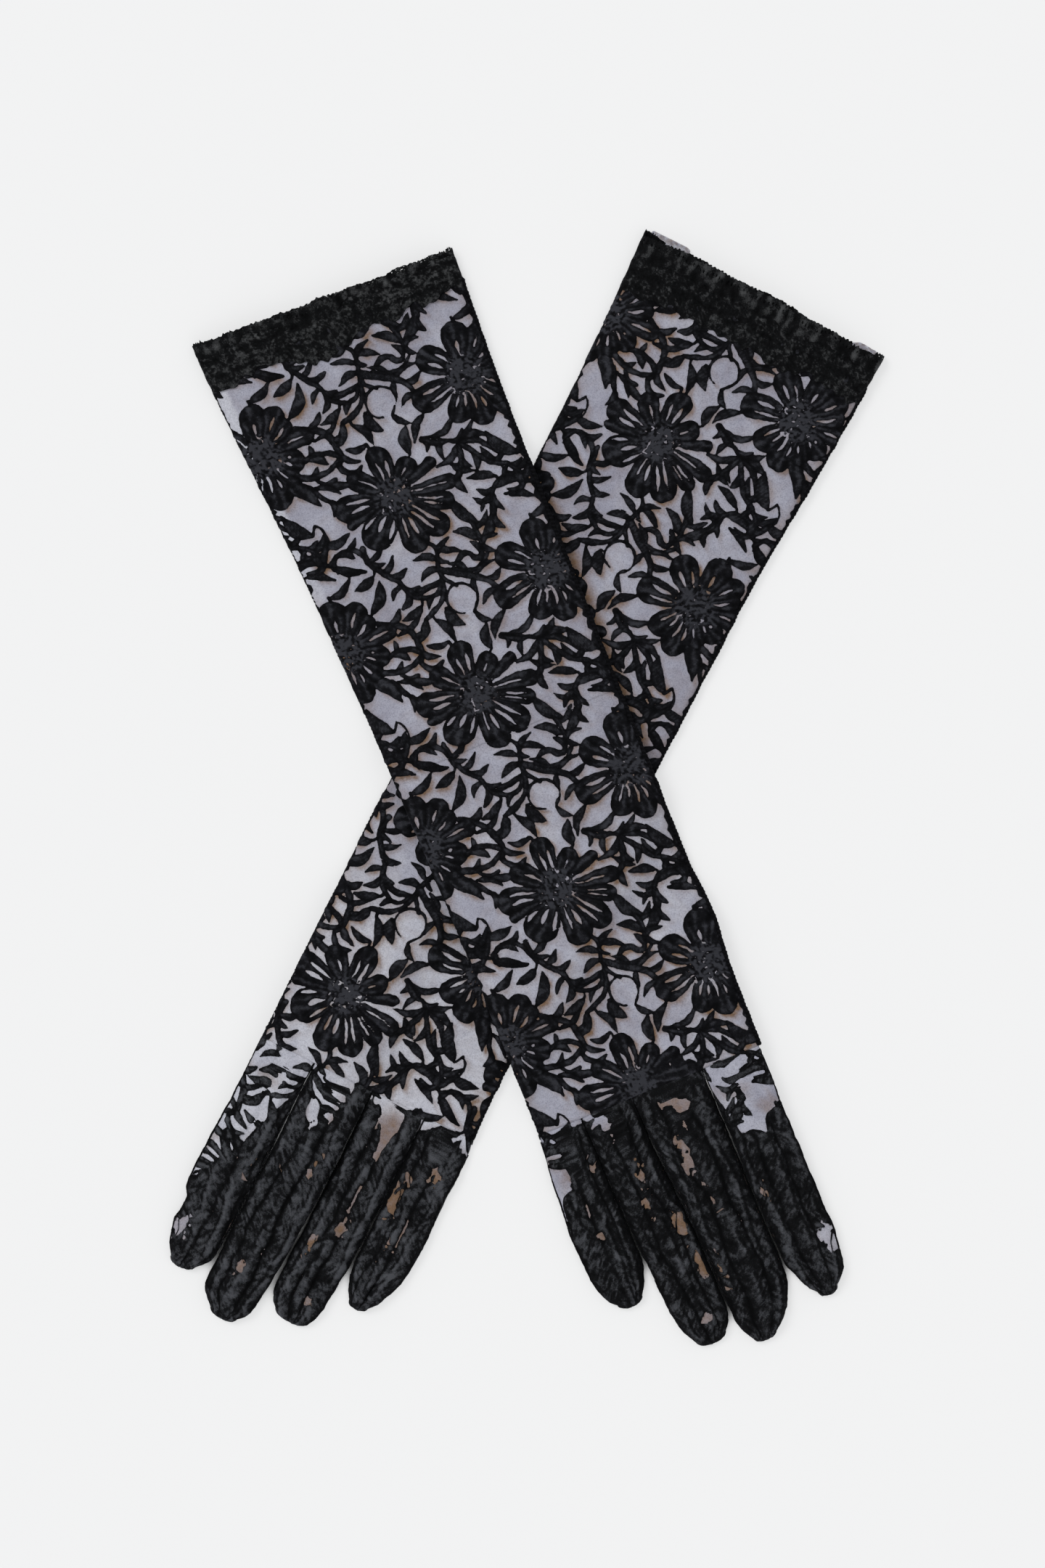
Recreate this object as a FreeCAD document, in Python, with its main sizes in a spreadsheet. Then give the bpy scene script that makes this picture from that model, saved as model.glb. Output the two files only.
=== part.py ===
import FreeCAD, Part
import Sketcher
import math
import os
from FreeCAD import Placement, Rotation, Vector

# A pair of elbow-length lace opera gloves, laid flat on their palms and crossed:
# the right-hand glove lies over the left-hand one.  Millimetres, +Z up.
#
# Each glove is built in its own frame: X runs from the cuff mouth to the fingertips,
# Y runs across the glove, Z is up.  A glove is a flat tube of sewn panels: lace outside,
# a fine net lining inside, seam strips along both sides, and a back, a palm and a
# fourchette in every stall.

doc = FreeCAD.newDocument("opera_gloves")
sheet = doc.addObject("Spreadsheet::Sheet", "dims")
rows = [0]


def cell(alias, value, note=""):
    rows[0] += 1
    sheet.set("A%d" % rows[0], note or alias)
    sheet.set("B%d" % rows[0], "%.6g" % value)
    sheet.setAlias("B%d" % rows[0], alias)


# ---- fabric and sections -------------------------------------------------------------
cell("lace_th", 0.70, "lace panel, thickness over the raised cord")
cell("lining_th", 0.28, "net lining, thickness")
cell("ply_gap", 0.02, "air between two plies")
cell("seam_wd", 1.00, "side seam strip, width")
cell("lining_inset", 1.10, "lining edge, in from the side")
cell("joint_gap", 0.50, "half the gap at a finger fold")
cell("hem_front", 1.20, "hem band, how far it stands past the panel datum")
cell("hem_len", 17.0, "hem band, depth along the glove")
cell("hem_th", 1.25, "hem band, wall of gathered lace")
cell("hem_ht", 8.60, "hem band, overall height")
cell("elastic_th", 0.45, "cuff elastic, thickness")
cell("elastic_wd", 6.00, "cuff elastic, width along the glove")
cell("elastic_set", 5.00, "cuff elastic, set back from the mouth")
cell("stall_ht", 4.60, "finger stall, overall height")
cell("stall_wall", 0.80, "fourchette, thickness")
cell("thumb_ht", 4.00, "thumb stall, overall height")
cell("gusset_th", 0.35, "thumb gusset, thickness")
cell("gusset_len", 15.0, "thumb gusset, along the glove")
cell("gusset_wd", 17.0, "thumb gusset, across the glove")

# ---- sleeve stations -----------------------------------------------------------------
SLEEVE_X = [17.2, 50.0, 84.0, 238.0]
for i, x in enumerate(SLEEVE_X):
    cell("sleeve_x_%s" % "abcd"[i], x, "sleeve station %d, from the cuff" % (i + 1))
for i, v in enumerate([8.2, 7.4, 5.4, 5.4]):
    cell("sleeve_ht_%s" % "abcd"[i], v, "sleeve height at station %d" % (i + 1))

# ---- one table per glove: widths from the axis, floor heights, stations --------------
# thumb = distance from the glove axis to the thumb-side edge, little = to the other edge
GLOVES = {
    "right": dict(
        hand=1.0, angle=-67.5, ox=-70.720, oy=174.132,
        thumb=[46.8, 44.9, 43.9, 42.0], little=[49.0, 47.3, 45.2, 42.4],
        lift=[0.10, 0.10, 6.10, 6.10],
        hand_x=[238.0, 258.0, 276.0, 303.5], hand_ht=[5.4, 5.1, 4.9, 4.6],
        hand_thumb=[42.0, 43.0, 41.4, 40.6], hand_little=[42.4, 42.8, 43.0, 43.5],
        rise_thumb=[6.10, 6.10, 6.10, 4.90], rise_little=[6.10, 6.10, 6.10, 0.50],
        # stall: centre across, half width, length, swing of the stall's own axis, floor height
        index=(29.95, 10.25, 90.2, -0.30, 4.90), middle=(6.60, 11.40, 95.6, 0.00, 3.00),
        ring=(-17.30, 9.70, 89.6, 1.20, 0.50), pinky=(-36.40, 8.60, 67.0, -0.80, 0.50),
        thumb_x=262.0, thumb_y=28.5, thumb_len=46.0, thumb_tail=8.0, thumb_half=10.0,
        gusset_z=6.10, wrist_gap=0.50,
    ),
    "left": dict(
        hand=-1.0, angle=-116.3, ox=85.280, oy=173.332,
        thumb=[47.6, 47.2, 47.2, 43.6], little=[45.7, 43.9, 40.9, 38.4],
        lift=[0.0, 0.0, 0.0, 0.0],
        hand_x=[238.0, 244.0, 262.0, 313.0], hand_ht=[5.4, 5.3, 5.0, 4.6],
        hand_thumb=[43.6, 43.8, 43.6, 44.0], hand_little=[38.4, 38.3, 38.3, 38.4],
        rise_thumb=[0.0, 0.0, 4.90, 4.90], rise_little=[0.0, 0.0, 0.0, 0.0],
        index=(34.00, 10.05, 84.6, 0.10, 4.90), middle=(12.60, 10.30, 94.6, 0.15, 4.90),
        ring=(-9.60, 10.35, 84.6, 0.30, 0.30), pinky=(-30.40, 9.20, 70.6, 0.30, 0.30),
        thumb_x=274.5, thumb_y=29.5, thumb_len=44.5, thumb_tail=6.0, thumb_half=10.0,
        gusset_z=4.90, wrist_gap=0.02,
    ),
}
KNEE_IN, KNEE_OUT = 5.0, 14.0
cell("knee_little", KNEE_IN, "hand section, where the palm starts to rise, little-finger side of the axis")
cell("knee_thumb", KNEE_OUT, "hand section, where the rise over the tucked thumb is full")
for g, d in GLOVES.items():
    for i in range(4):
        k = "abcd"[i]
        cell("%s_thumb_wd_%s" % (g, k), d["thumb"][i], "%s sleeve, axis to thumb side, station %d" % (g, i + 1))
        cell("%s_little_wd_%s" % (g, k), d["little"][i], "%s sleeve, axis to little side, station %d" % (g, i + 1))
        cell("%s_lift_%s" % (g, k), d["lift"][i], "%s sleeve, height of the underside, station %d" % (g, i + 1))
        cell("%s_hand_x_%s" % (g, k), d["hand_x"][i], "%s hand station %d" % (g, i + 1))
        cell("%s_hand_ht_%s" % (g, k), d["hand_ht"][i], "%s hand height, station %d" % (g, i + 1))
        cell("%s_hand_thumb_%s" % (g, k), d["hand_thumb"][i], "%s hand, axis to thumb side" % g)
        cell("%s_hand_little_%s" % (g, k), d["hand_little"][i], "%s hand, axis to little side" % g)
        cell("%s_rise_thumb_%s" % (g, k), d["rise_thumb"][i], "%s hand, underside on the thumb side" % g)
        cell("%s_rise_little_%s" % (g, k), d["rise_little"][i], "%s hand, underside on the little side" % g)
    for f in ("index", "middle", "ring", "pinky"):
        c, hw, ln, sw, fl = d[f]
        cell("%s_%s_centre" % (g, f), c, "%s %s stall, centre from the axis" % (g, f))
        cell("%s_%s_half" % (g, f), hw, "%s %s stall, half width" % (g, f))
        cell("%s_%s_len" % (g, f), ln, "%s %s stall, length" % (g, f))
        cell("%s_%s_swing" % (g, f), sw, "%s %s stall, angle from the glove axis, degrees" % (g, f))
        cell("%s_%s_floor" % (g, f), fl, "%s %s stall, underside at the base" % (g, f))
    for k, note in (("thumb_x", "thumb pivot along the glove"), ("thumb_y", "thumb pivot across"),
                    ("thumb_len", "thumb stall, pivot to tip"), ("thumb_tail", "thumb stall behind the pivot"),
                    ("thumb_half", "thumb stall, half width"), ("gusset_z", "palm underside over the gusset"),
                    ("wrist_gap", "half the gap between sleeve and hand panels"),
                    ("angle", "glove direction, degrees from +X"), ("ox", "cuff datum X"), ("oy", "cuff datum Y")):
        cell("%s_%s" % (g, k), d[k], "%s %s" % (g, note))
doc.recompute()


# ---- a size that knows both its value and the expression that gives it ---------------
class Size:
    def __init__(self, text, value):
        self.text, self.value = text, value

    def __add__(self, o):
        o = size(o)
        return Size("(%s + %s)" % (self.text, o.text), self.value + o.value)

    def __sub__(self, o):
        o = size(o)
        return Size("(%s - %s)" % (self.text, o.text), self.value - o.value)

    def __mul__(self, o):
        o = size(o)
        return Size("(%s * %s)" % (self.text, o.text), self.value * o.value)

    def __neg__(self):
        return Size("(0 - %s)" % self.text, -self.value)


def size(v):
    return v if isinstance(v, Size) else Size("%.6g" % v, float(v))


def dim(alias):
    return Size("dims.%s" % alias, float(sheet.get(alias)))


def plane_of(body, role):
    for o in body.Origin.OriginFeatures:
        if o.Role == role:
            return o
    raise RuntimeError(role)


def new_sketch(body, name, role, offset):
    sk = body.newObject("Sketcher::SketchObject", name)
    sk.AttachmentSupport = [(plane_of(body, role), "")]
    sk.MapMode = "FlatFace"
    offset = size(offset)
    sk.AttachmentOffset = Placement(Vector(0, 0, offset.value), Rotation())
    sk.setExpression(".AttachmentOffset.Base.z", offset.text)
    return sk


def fix_point(sk, geo, which, x, y):
    n = sk.addConstraint(Sketcher.Constraint("DistanceX", -1, 1, geo, which, x.value))
    sk.setExpression("Constraints[%d]" % n, x.text)
    n = sk.addConstraint(Sketcher.Constraint("DistanceY", -1, 1, geo, which, y.value))
    sk.setExpression("Constraints[%d]" % n, y.text)


def outline(sk, points):
    """Closed straight-sided outline through (x, y) sizes, every corner dimensioned."""
    first = sk.GeometryCount
    n = len(points)
    for i in range(n):
        a, b = points[i], points[(i + 1) % n]
        sk.addGeometry(Part.LineSegment(Vector(a[0].value, a[1].value, 0), Vector(b[0].value, b[1].value, 0)), False)
    for i in range(n):
        sk.addConstraint(Sketcher.Constraint("Coincident", first + i, 2, first + (i + 1) % n, 1))
    for i in range(n):
        fix_point(sk, first + i, 1, points[i][0], points[i][1])


made = []


def new_body(label):
    body = doc.addObject("PartDesign::Body", label)
    body.Label = label
    made.append(body)
    return body


def loft(label, sections, place):
    """A panel: one closed section per station, joined by straight-ruled sides."""
    body = new_body(label)
    sks = []
    for i, (x, pts) in enumerate(sections):
        sk = new_sketch(body, "%s_section_%d" % (label, i + 1), "YZ_Plane", x)
        outline(sk, pts)
        sks.append(sk)
    doc.recompute()
    lf = body.newObject("PartDesign::AdditiveLoft", label + "_loft")
    lf.Profile = sks[0]
    lf.Sections = sks[1:]
    lf.Ruled = True
    lf.Closed = False
    body.Tip = lf
    body.Placement = place
    return body


def pad(label, draw, base, height, place):
    """A flat piece: an outline in the XY plane, raised from base by height."""
    body = new_body(label)
    sk = new_sketch(body, label + "_outline", "XY_Plane", base)
    draw(sk)
    doc.recompute()
    p = body.newObject("PartDesign::Pad", label + "_pad")
    p.Profile = sk
    height = size(height)
    p.Length = height.value
    p.setExpression("Length", height.text)
    body.Tip = p
    body.Placement = place
    return body


LACE, LINING, GAP = dim("lace_th"), dim("lining_th"), dim("ply_gap")
SEAM, INSET, JOINT = dim("seam_wd"), dim("lining_inset"), dim("joint_gap")


def sheet_section(edge, low, high):
    """Section of a ply: edge is a list of (across, underside datum) from side to side."""
    lower = [(y, z + low) for y, z in edge]
    upper = [(y, z + high) for y, z in edge]
    return lower + upper[::-1]


def stall_outline(sk, x0, length, half):
    """Plan of a stall: straight sides from x0, and a rounded end."""
    xr = length - half
    g = sk.GeometryCount
    a, b = Vector(x0.value, -half.value, 0), Vector(xr.value, -half.value, 0)
    c, d = Vector(xr.value, half.value, 0), Vector(x0.value, half.value, 0)
    sk.addGeometry(Part.LineSegment(a, b), False)
    sk.addGeometry(Part.ArcOfCircle(Part.Circle(Vector(xr.value, 0, 0), Vector(0, 0, 1), half.value), -math.pi / 2, math.pi / 2), False)
    sk.addGeometry(Part.LineSegment(c, d), False)
    sk.addGeometry(Part.LineSegment(d, a), False)
    sk.addConstraint(Sketcher.Constraint("Tangent", g, 2, g + 1, 1))
    sk.addConstraint(Sketcher.Constraint("Tangent", g + 1, 2, g + 2, 1))
    sk.addConstraint(Sketcher.Constraint("Coincident", g + 2, 2, g + 3, 1))
    sk.addConstraint(Sketcher.Constraint("Coincident", g + 3, 2, g, 1))
    sk.addConstraint(Sketcher.Constraint("Horizontal", g))
    sk.addConstraint(Sketcher.Constraint("Horizontal", g + 2))
    sk.addConstraint(Sketcher.Constraint("Vertical", g + 3))
    fix_point(sk, g, 1, x0, -half)
    n = sk.addConstraint(Sketcher.Constraint("DistanceY", g, 1, g + 2, 2, 2 * half.value))
    sk.setExpression("Constraints[%d]" % n, (half * 2).text)
    n = sk.addConstraint(Sketcher.Constraint("DistanceX", -1, 1, g + 1, 3, xr.value))
    sk.setExpression("Constraints[%d]" % n, xr.text)


def strip_outline(sk, x0, length, half, wall):
    """Plan of a fourchette: a strip round a stall's two sides and its end."""
    xr = length - half
    ri = half - wall
    g = sk.GeometryCount
    V = Vector
    mid = V(xr.value, 0, 0)
    sk.addGeometry(Part.LineSegment(V(x0.value, -half.value, 0), V(xr.value, -half.value, 0)), False)
    sk.addGeometry(Part.ArcOfCircle(Part.Circle(mid, V(0, 0, 1), half.value), -math.pi / 2, math.pi / 2), False)
    sk.addGeometry(Part.LineSegment(V(xr.value, half.value, 0), V(x0.value, half.value, 0)), False)
    sk.addGeometry(Part.LineSegment(V(x0.value, half.value, 0), V(x0.value, ri.value, 0)), False)
    sk.addGeometry(Part.LineSegment(V(x0.value, ri.value, 0), V(xr.value, ri.value, 0)), False)
    sk.addGeometry(Part.ArcOfCircle(Part.Circle(mid, V(0, 0, 1), ri.value), -math.pi / 2, math.pi / 2), False)
    sk.addGeometry(Part.LineSegment(V(xr.value, -ri.value, 0), V(x0.value, -ri.value, 0)), False)
    sk.addGeometry(Part.LineSegment(V(x0.value, -ri.value, 0), V(x0.value, -half.value, 0)), False)
    C = Sketcher.Constraint
    sk.addConstraint(C("Tangent", g, 2, g + 1, 1))
    sk.addConstraint(C("Tangent", g + 1, 2, g + 2, 1))
    sk.addConstraint(C("Coincident", g + 2, 2, g + 3, 1))
    sk.addConstraint(C("Coincident", g + 3, 2, g + 4, 1))
    sk.addConstraint(C("Tangent", g + 4, 2, g + 5, 2))
    sk.addConstraint(C("Tangent", g + 5, 1, g + 6, 1))
    sk.addConstraint(C("Coincident", g + 6, 2, g + 7, 1))
    sk.addConstraint(C("Coincident", g + 7, 2, g, 1))
    sk.addConstraint(C("Horizontal", g))
    sk.addConstraint(C("Horizontal", g + 2))
    sk.addConstraint(C("Vertical", g + 3))
    sk.addConstraint(C("Horizontal", g + 4))
    sk.addConstraint(C("Horizontal", g + 6))
    sk.addConstraint(C("Vertical", g + 7))
    sk.addConstraint(C("Coincident", g + 5, 3, g + 1, 3))
    fix_point(sk, g, 1, x0, -half)
    n = sk.addConstraint(C("DistanceY", g, 1, g + 2, 2, 2 * half.value))
    sk.setExpression("Constraints[%d]" % n, (half * 2).text)
    n = sk.addConstraint(C("DistanceX", -1, 1, g + 1, 3, xr.value))
    sk.setExpression("Constraints[%d]" % n, xr.text)
    n = sk.addConstraint(C("DistanceY", g, 1, g + 7, 1, wall.value))
    sk.setExpression("Constraints[%d]" % n, wall.text)


def stall(prefix, x0, length, half, height, place):
    """Back, palm and fourchette of one finger or thumb."""
    wall = dim("stall_wall")
    pad(prefix + "_palm", lambda sk: stall_outline(sk, x0, length, half), 0, LACE, place)
    pad(prefix + "_fourchette", lambda sk: strip_outline(sk, x0, length, half, wall), LACE + GAP,
        height - LACE * 2 - GAP * 2, place)
    pad(prefix + "_back", lambda sk: stall_outline(sk, x0, length, half), height - LACE, LACE, place)


for g, d in GLOVES.items():
    hand = d["hand"]
    glove = Placement(Vector(dim(g + "_ox").value, dim(g + "_oy").value, 0),
                      Rotation(Vector(0, 0, 1), dim(g + "_angle").value))

    def across(v):
        # thumb side is +Y on the right-hand glove and -Y on the left-hand one
        return v if hand > 0 else -v

    # sleeve: six plies lofted through four stations
    st = []
    for k in "abcd":
        x = dim("sleeve_x_" + k)
        if k == "d":
            x = x - dim(g + "_wrist_gap")
        st.append((x, dim("%s_thumb_wd_%s" % (g, k)), dim("%s_little_wd_%s" % (g, k)),
                   dim("%s_lift_%s" % (g, k)), dim("sleeve_ht_" + k)))

    def ply(inset, low, high):
        out = []
        for x, wt, wl, lift, ht in st:
            edge = [(across(-(wl - inset)), lift), (across(wt - inset), lift)]
            out.append((x, sheet_section(edge, low(ht), high(ht))))
        return out

    def strip(side):
        out = []
        for x, wt, wl, lift, ht in st:
            e = wt if side > 0 else -wl
            i = e - SEAM if side > 0 else e + SEAM
            edge = [(across(i), lift), (across(e), lift)]
            out.append((x, sheet_section(edge, LACE + GAP, ht - LACE - GAP)))
        return out

    if max(d["lift"]) > 0:
        loft(g + "_sleeve_palm", ply(0, lambda ht: size(0), lambda ht: LACE), glove)
    else:
        # the lower glove's sleeve lies flat, so its palm panel is one flat cut piece
        plan = [(x, across(-wl)) for x, wt, wl, lift, ht in st] + [(x, across(wt)) for x, wt, wl, lift, ht in st[::-1]]
        pad(g + "_sleeve_palm", lambda sk: outline(sk, plan), dim(g + "_lift_a"), LACE, glove)
    loft(g + "_sleeve_palm_lining", ply(INSET, lambda ht: LACE + GAP, lambda ht: LACE + GAP + LINING), glove)
    loft(g + "_sleeve_back_lining", ply(INSET, lambda ht: ht - LACE - GAP - LINING, lambda ht: ht - LACE - GAP), glove)
    loft(g + "_sleeve_back", ply(0, lambda ht: ht - LACE, lambda ht: ht), glove)
    loft(g + "_sleeve_thumb_seam", strip(1), glove)
    loft(g + "_sleeve_little_seam", strip(-1), glove)

    # hem band: a flat ring of gathered lace round the mouth, and the elastic inside it
    wt, wl = dim(g + "_thumb_wd_a") + 0.6, dim(g + "_little_wd_a") + 0.4
    base, ht, th = dim(g + "_lift_a"), dim("hem_ht"), dim("hem_th")
    for label, inset, x0, ln, wall in (
            ("_hem_band", size(0), -dim("hem_front"), dim("hem_len") + dim("hem_front"), th),
            ("_cuff_elastic", th + GAP, dim("elastic_set"), dim("elastic_wd"), dim("elastic_th"))):
        body = new_body(g + label)
        sk = new_sketch(body, g + label + "_ring", "YZ_Plane", x0)
        for ins in (inset, inset + wall):
            outline(sk, [(across(-(wl - ins)), base + ins), (across(wt - ins), base + ins),
                         (across(wt - ins), base + ht - ins), (across(-(wl - ins)), base + ht - ins)])
        doc.recompute()
        p = body.newObject("PartDesign::Pad", g + label + "_pad")
        p.Profile = sk
        p.Length = ln.value
        p.setExpression("Length", ln.text)
        body.Tip = p
        body.Placement = glove

    # hand: the same plies, with the palm raised on the thumb side over the tucked thumb
    hs = []
    for k in "abcd":
        x = dim("%s_hand_x_%s" % (g, k))
        if k == "a":
            x = x + dim(g + "_wrist_gap")
        if k == "d":
            x = x - JOINT
        hs.append((x, dim("%s_hand_thumb_%s" % (g, k)), dim("%s_hand_little_%s" % (g, k)),
                   dim("%s_rise_thumb_%s" % (g, k)), dim("%s_rise_little_%s" % (g, k)), dim("%s_hand_ht_%s" % (g, k))))
    kn_l, kn_t = dim("knee_little"), dim("knee_thumb")

    def hply(inset, low, high):
        out = []
        for x, wt, wl, rt, rl, ht in hs:
            edge = [(across(-(wl - inset)), rl), (across(-kn_l), rl), (across(kn_t), rt), (across(wt - inset), rt)]
            out.append((x, sheet_section(edge, low(ht), high(ht))))
        return out

    def hstrip(side):
        out = []
        for x, wt, wl, rt, rl, ht in hs:
            e, r = (wt, rt) if side > 0 else (-wl, rl)
            i = e - SEAM if side > 0 else e + SEAM
            out.append((x, sheet_section([(across(i), r), (across(e), r)], LACE + GAP, ht - LACE - GAP)))
        return out

    loft(g + "_hand_palm", hply(0, lambda ht: size(0), lambda ht: LACE), glove)
    loft(g + "_hand_palm_lining", hply(INSET, lambda ht: LACE + GAP, lambda ht: LACE + GAP + LINING), glove)
    loft(g + "_hand_back_lining", hply(INSET, lambda ht: ht - LACE - GAP - LINING, lambda ht: ht - LACE - GAP), glove)
    loft(g + "_hand_back", hply(0, lambda ht: ht - LACE, lambda ht: ht), glove)
    loft(g + "_hand_thumb_seam", hstrip(1), glove)
    loft(g + "_hand_little_seam", hstrip(-1), glove)

    p = glove.multVec(Vector(dim(g + "_hand_x_a").value, 0, dim(g + "_rise_thumb_a").value + dim(g + "_hand_ht_a").value))
    along = glove.Rotation.multVec(Vector(1, 0, 0))
    print("%s_wrist fold at (%.3f, %.3f, %.3f), direction (%.5f, %.5f, %.5f)" % ((g,) + tuple(p) + tuple(along)))

    # finger stalls: each slopes from the hand's edge down to the table
    base_x = dim(g + "_hand_x_d").value
    for f, name in (("index", "index"), ("middle", "middle"), ("ring", "ring"), ("pinky", "little")):
        c, half = dim("%s_%s_centre" % (g, f)), dim("%s_%s_half" % (g, f))
        ln, sw, fl = dim("%s_%s_len" % (g, f)), dim("%s_%s_swing" % (g, f)), dim("%s_%s_floor" % (g, f))
        pitch = math.degrees(math.asin((fl.value - 0.15) / ln.value))
        own = Placement(Vector(base_x, hand * c.value, fl.value),
                        Rotation(Vector(0, 0, 1), hand * sw.value).multiply(Rotation(Vector(0, 1, 0), pitch)))
        stall("%s_%s" % (g, name), JOINT, ln, half, dim("stall_ht"), glove.multiply(own))
        top = glove.multiply(own).multVec(Vector(0, 0, dim("stall_ht").value))
        along = glove.Rotation.multiply(own.Rotation).multVec(Vector(1, 0, 0))
        print("%s_%s hinge at (%.3f, %.3f, %.3f), direction (%.5f, %.5f, %.5f)" % ((g, name) + tuple(top) + tuple(along)))

    # thumb stall, flat on the table under the palm, and its gusset on the palm
    tx, ty = dim(g + "_thumb_x"), dim(g + "_thumb_y")
    own = Placement(Vector(tx.value, hand * ty.value, 0.12), Rotation())
    stall(g + "_thumb", -dim(g + "_thumb_tail"), dim(g + "_thumb_len"), dim(g + "_thumb_half"), dim("thumb_ht"),
          glove.multiply(own))
    p = glove.multVec(Vector(tx.value, hand * ty.value, 0.12))
    print("%s_thumb pivot at (%.3f, %.3f, %.3f), direction (0, 0, 1)" % ((g,) + tuple(p)))
    hl, hw = dim("gusset_len") * 0.5, dim("gusset_wd") * 0.5
    own = Placement(Vector(tx.value, hand * ty.value, 0), Rotation())
    corner = 0.62
    pts = [(hl, -(hw * (1 - corner))), (hl, hw * (1 - corner)), (hl * (1 - corner), hw), (-(hl * (1 - corner)), hw),
           (-hl, hw * (1 - corner)), (-hl, -(hw * (1 - corner))), (-(hl * (1 - corner)), -hw), (hl * (1 - corner), -hw)]
    pad(g + "_thumb_gusset", lambda sk: outline(sk, pts), dim(g + "_gusset_z") - dim("gusset_th") - GAP,
        dim("gusset_th"), glove.multiply(own))

doc.recompute()

# ---- every object sound before anything is written -----------------------------------
bad = [o.Name for o in doc.Objects if "Invalid" in o.State or "Error" in o.State]
if bad:
    raise RuntimeError("failed objects: %s" % ", ".join(bad))
box = FreeCAD.BoundBox()
for body in made:
    s = body.Shape
    if s.isNull() or not s.isValid() or len(s.Solids) != 1 or s.Volume <= 0:
        raise RuntimeError("bad shape: " + body.Label)
    box.add(s.BoundBox)
print("box x %.3f..%.3f  y %.3f..%.3f  z %.3f..%.3f" % (box.XMin, box.XMax, box.YMin, box.YMax, box.ZMin, box.ZMax))
print("centre %.3f %.3f, %d pieces" % ((box.XMin + box.XMax) / 2, (box.YMin + box.YMax) / 2, len(made)))

os.makedirs("parts", exist_ok=True)
for body in made:
    body.Shape.exportStep("parts/%s.step" % body.Label)
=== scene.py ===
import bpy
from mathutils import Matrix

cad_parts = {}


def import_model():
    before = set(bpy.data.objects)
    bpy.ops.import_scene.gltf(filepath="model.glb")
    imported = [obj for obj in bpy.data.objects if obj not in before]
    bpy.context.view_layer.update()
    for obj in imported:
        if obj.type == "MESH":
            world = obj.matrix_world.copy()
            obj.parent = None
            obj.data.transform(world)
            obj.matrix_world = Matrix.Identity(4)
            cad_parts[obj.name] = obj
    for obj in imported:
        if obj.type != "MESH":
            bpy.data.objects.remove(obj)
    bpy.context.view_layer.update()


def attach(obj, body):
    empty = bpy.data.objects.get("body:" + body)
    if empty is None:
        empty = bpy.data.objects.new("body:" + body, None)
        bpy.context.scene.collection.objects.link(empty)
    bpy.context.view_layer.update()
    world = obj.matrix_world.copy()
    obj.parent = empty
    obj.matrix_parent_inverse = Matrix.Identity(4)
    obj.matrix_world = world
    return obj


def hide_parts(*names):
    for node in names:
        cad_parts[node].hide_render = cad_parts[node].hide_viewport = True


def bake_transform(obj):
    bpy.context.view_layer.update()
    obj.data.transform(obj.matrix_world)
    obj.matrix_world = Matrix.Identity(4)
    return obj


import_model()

import math
import bpy
import numpy as np
from mathutils import Vector

# Everything below is worked out in millimetres in each glove's own frame:
# s runs from the cuff mouth to the fingertips, u across towards the thumb side, z up.
# place() then puts it in the shared frame, in metres.

# ------------------------------------------------------------------ helpers
def smooth(a, b, x):
    t = np.clip((np.asarray(x, float) - a) / (b - a), 0.0, 1.0)
    return t * t * (3 - 2 * t)


def lerp(a, b, t):
    return a + (b - a) * t


class Noise:
    """smooth value noise on a repeating 64 x 64 lattice"""

    def __init__(self, seed):
        self.g = np.random.RandomState(seed).rand(64, 64) * 2 - 1

    def __call__(self, x, y):
        x, y = np.broadcast_arrays(np.asarray(x, float), np.asarray(y, float))
        i, j = np.floor(x).astype(int), np.floor(y).astype(int)
        fx, fy = x - i, y - j
        fx, fy = fx * fx * (3 - 2 * fx), fy * fy * (3 - 2 * fy)
        g = self.g
        a, b = g[i % 64, j % 64], g[(i + 1) % 64, j % 64]
        c, d = g[i % 64, (j + 1) % 64], g[(i + 1) % 64, (j + 1) % 64]
        return (a * (1 - fx) + b * fx) * (1 - fy) + (c * (1 - fx) + d * fx) * fy


N1, N2, N3, N4 = Noise(3), Noise(11), Noise(29), Noise(57)


def fractal(n, x, y, k=3):
    v = 0.0
    for i in range(k):
        v = v + n(x * 2 ** i + 7.3 * i, y * 2 ** i + 3.1 * i) / 2 ** i
    return v / 1.75


# ------------------------------------------------------------------ the lace repeat
PW, PH, RES = 78.0, 75.0, 0.3
NX, NY = int(PW / RES), int(PH / RES)
RNG = np.random.RandomState(7)
D1 = np.full((NX, NY), 6.0)
D2 = np.full((NX, NY), 6.0)
HOLE = np.full((NX, NY), 6.0)


def strokes(pts, rad):
    """signed distance of a tapering stroke through pts, on a patch of the repeat"""
    pts, rad = np.asarray(pts, float), np.asarray(rad, float)
    m = rad.max() + 5.0
    (x0, y0), (x1, y1) = pts.min(0) - m, pts.max(0) + m
    i0, i1 = int(math.floor(x0 / RES)), int(math.ceil(x1 / RES))
    j0, j1 = int(math.floor(y0 / RES)), int(math.ceil(y1 / RES))
    i1, j1 = min(i1, i0 + NX - 1), min(j1, j0 + NY - 1)
    X = (np.arange(i0, i1 + 1) * RES)[:, None]
    Y = (np.arange(j0, j1 + 1) * RES)[None, :]
    d = np.full((X.shape[0], Y.shape[1]), 9.0)
    for a, b, ra, rb in zip(pts[:-1], pts[1:], rad[:-1], rad[1:]):
        ex, ey = b - a
        l2 = max(ex * ex + ey * ey, 1e-9)
        h = np.clip(((X - a[0]) * ex + (Y - a[1]) * ey) / l2, 0, 1)
        d = np.minimum(d, np.hypot(X - a[0] - h * ex, Y - a[1] - h * ey) - (ra + (rb - ra) * h))
    return np.ix_(np.arange(i0, i1 + 1) % NX, np.arange(j0, j1 + 1) % NY), d


def put(el):
    ix, d = el
    a, b = D1[ix], D2[ix]
    D2[ix] = np.minimum(b, np.maximum(a, d))
    D1[ix] = np.minimum(a, d)


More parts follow.
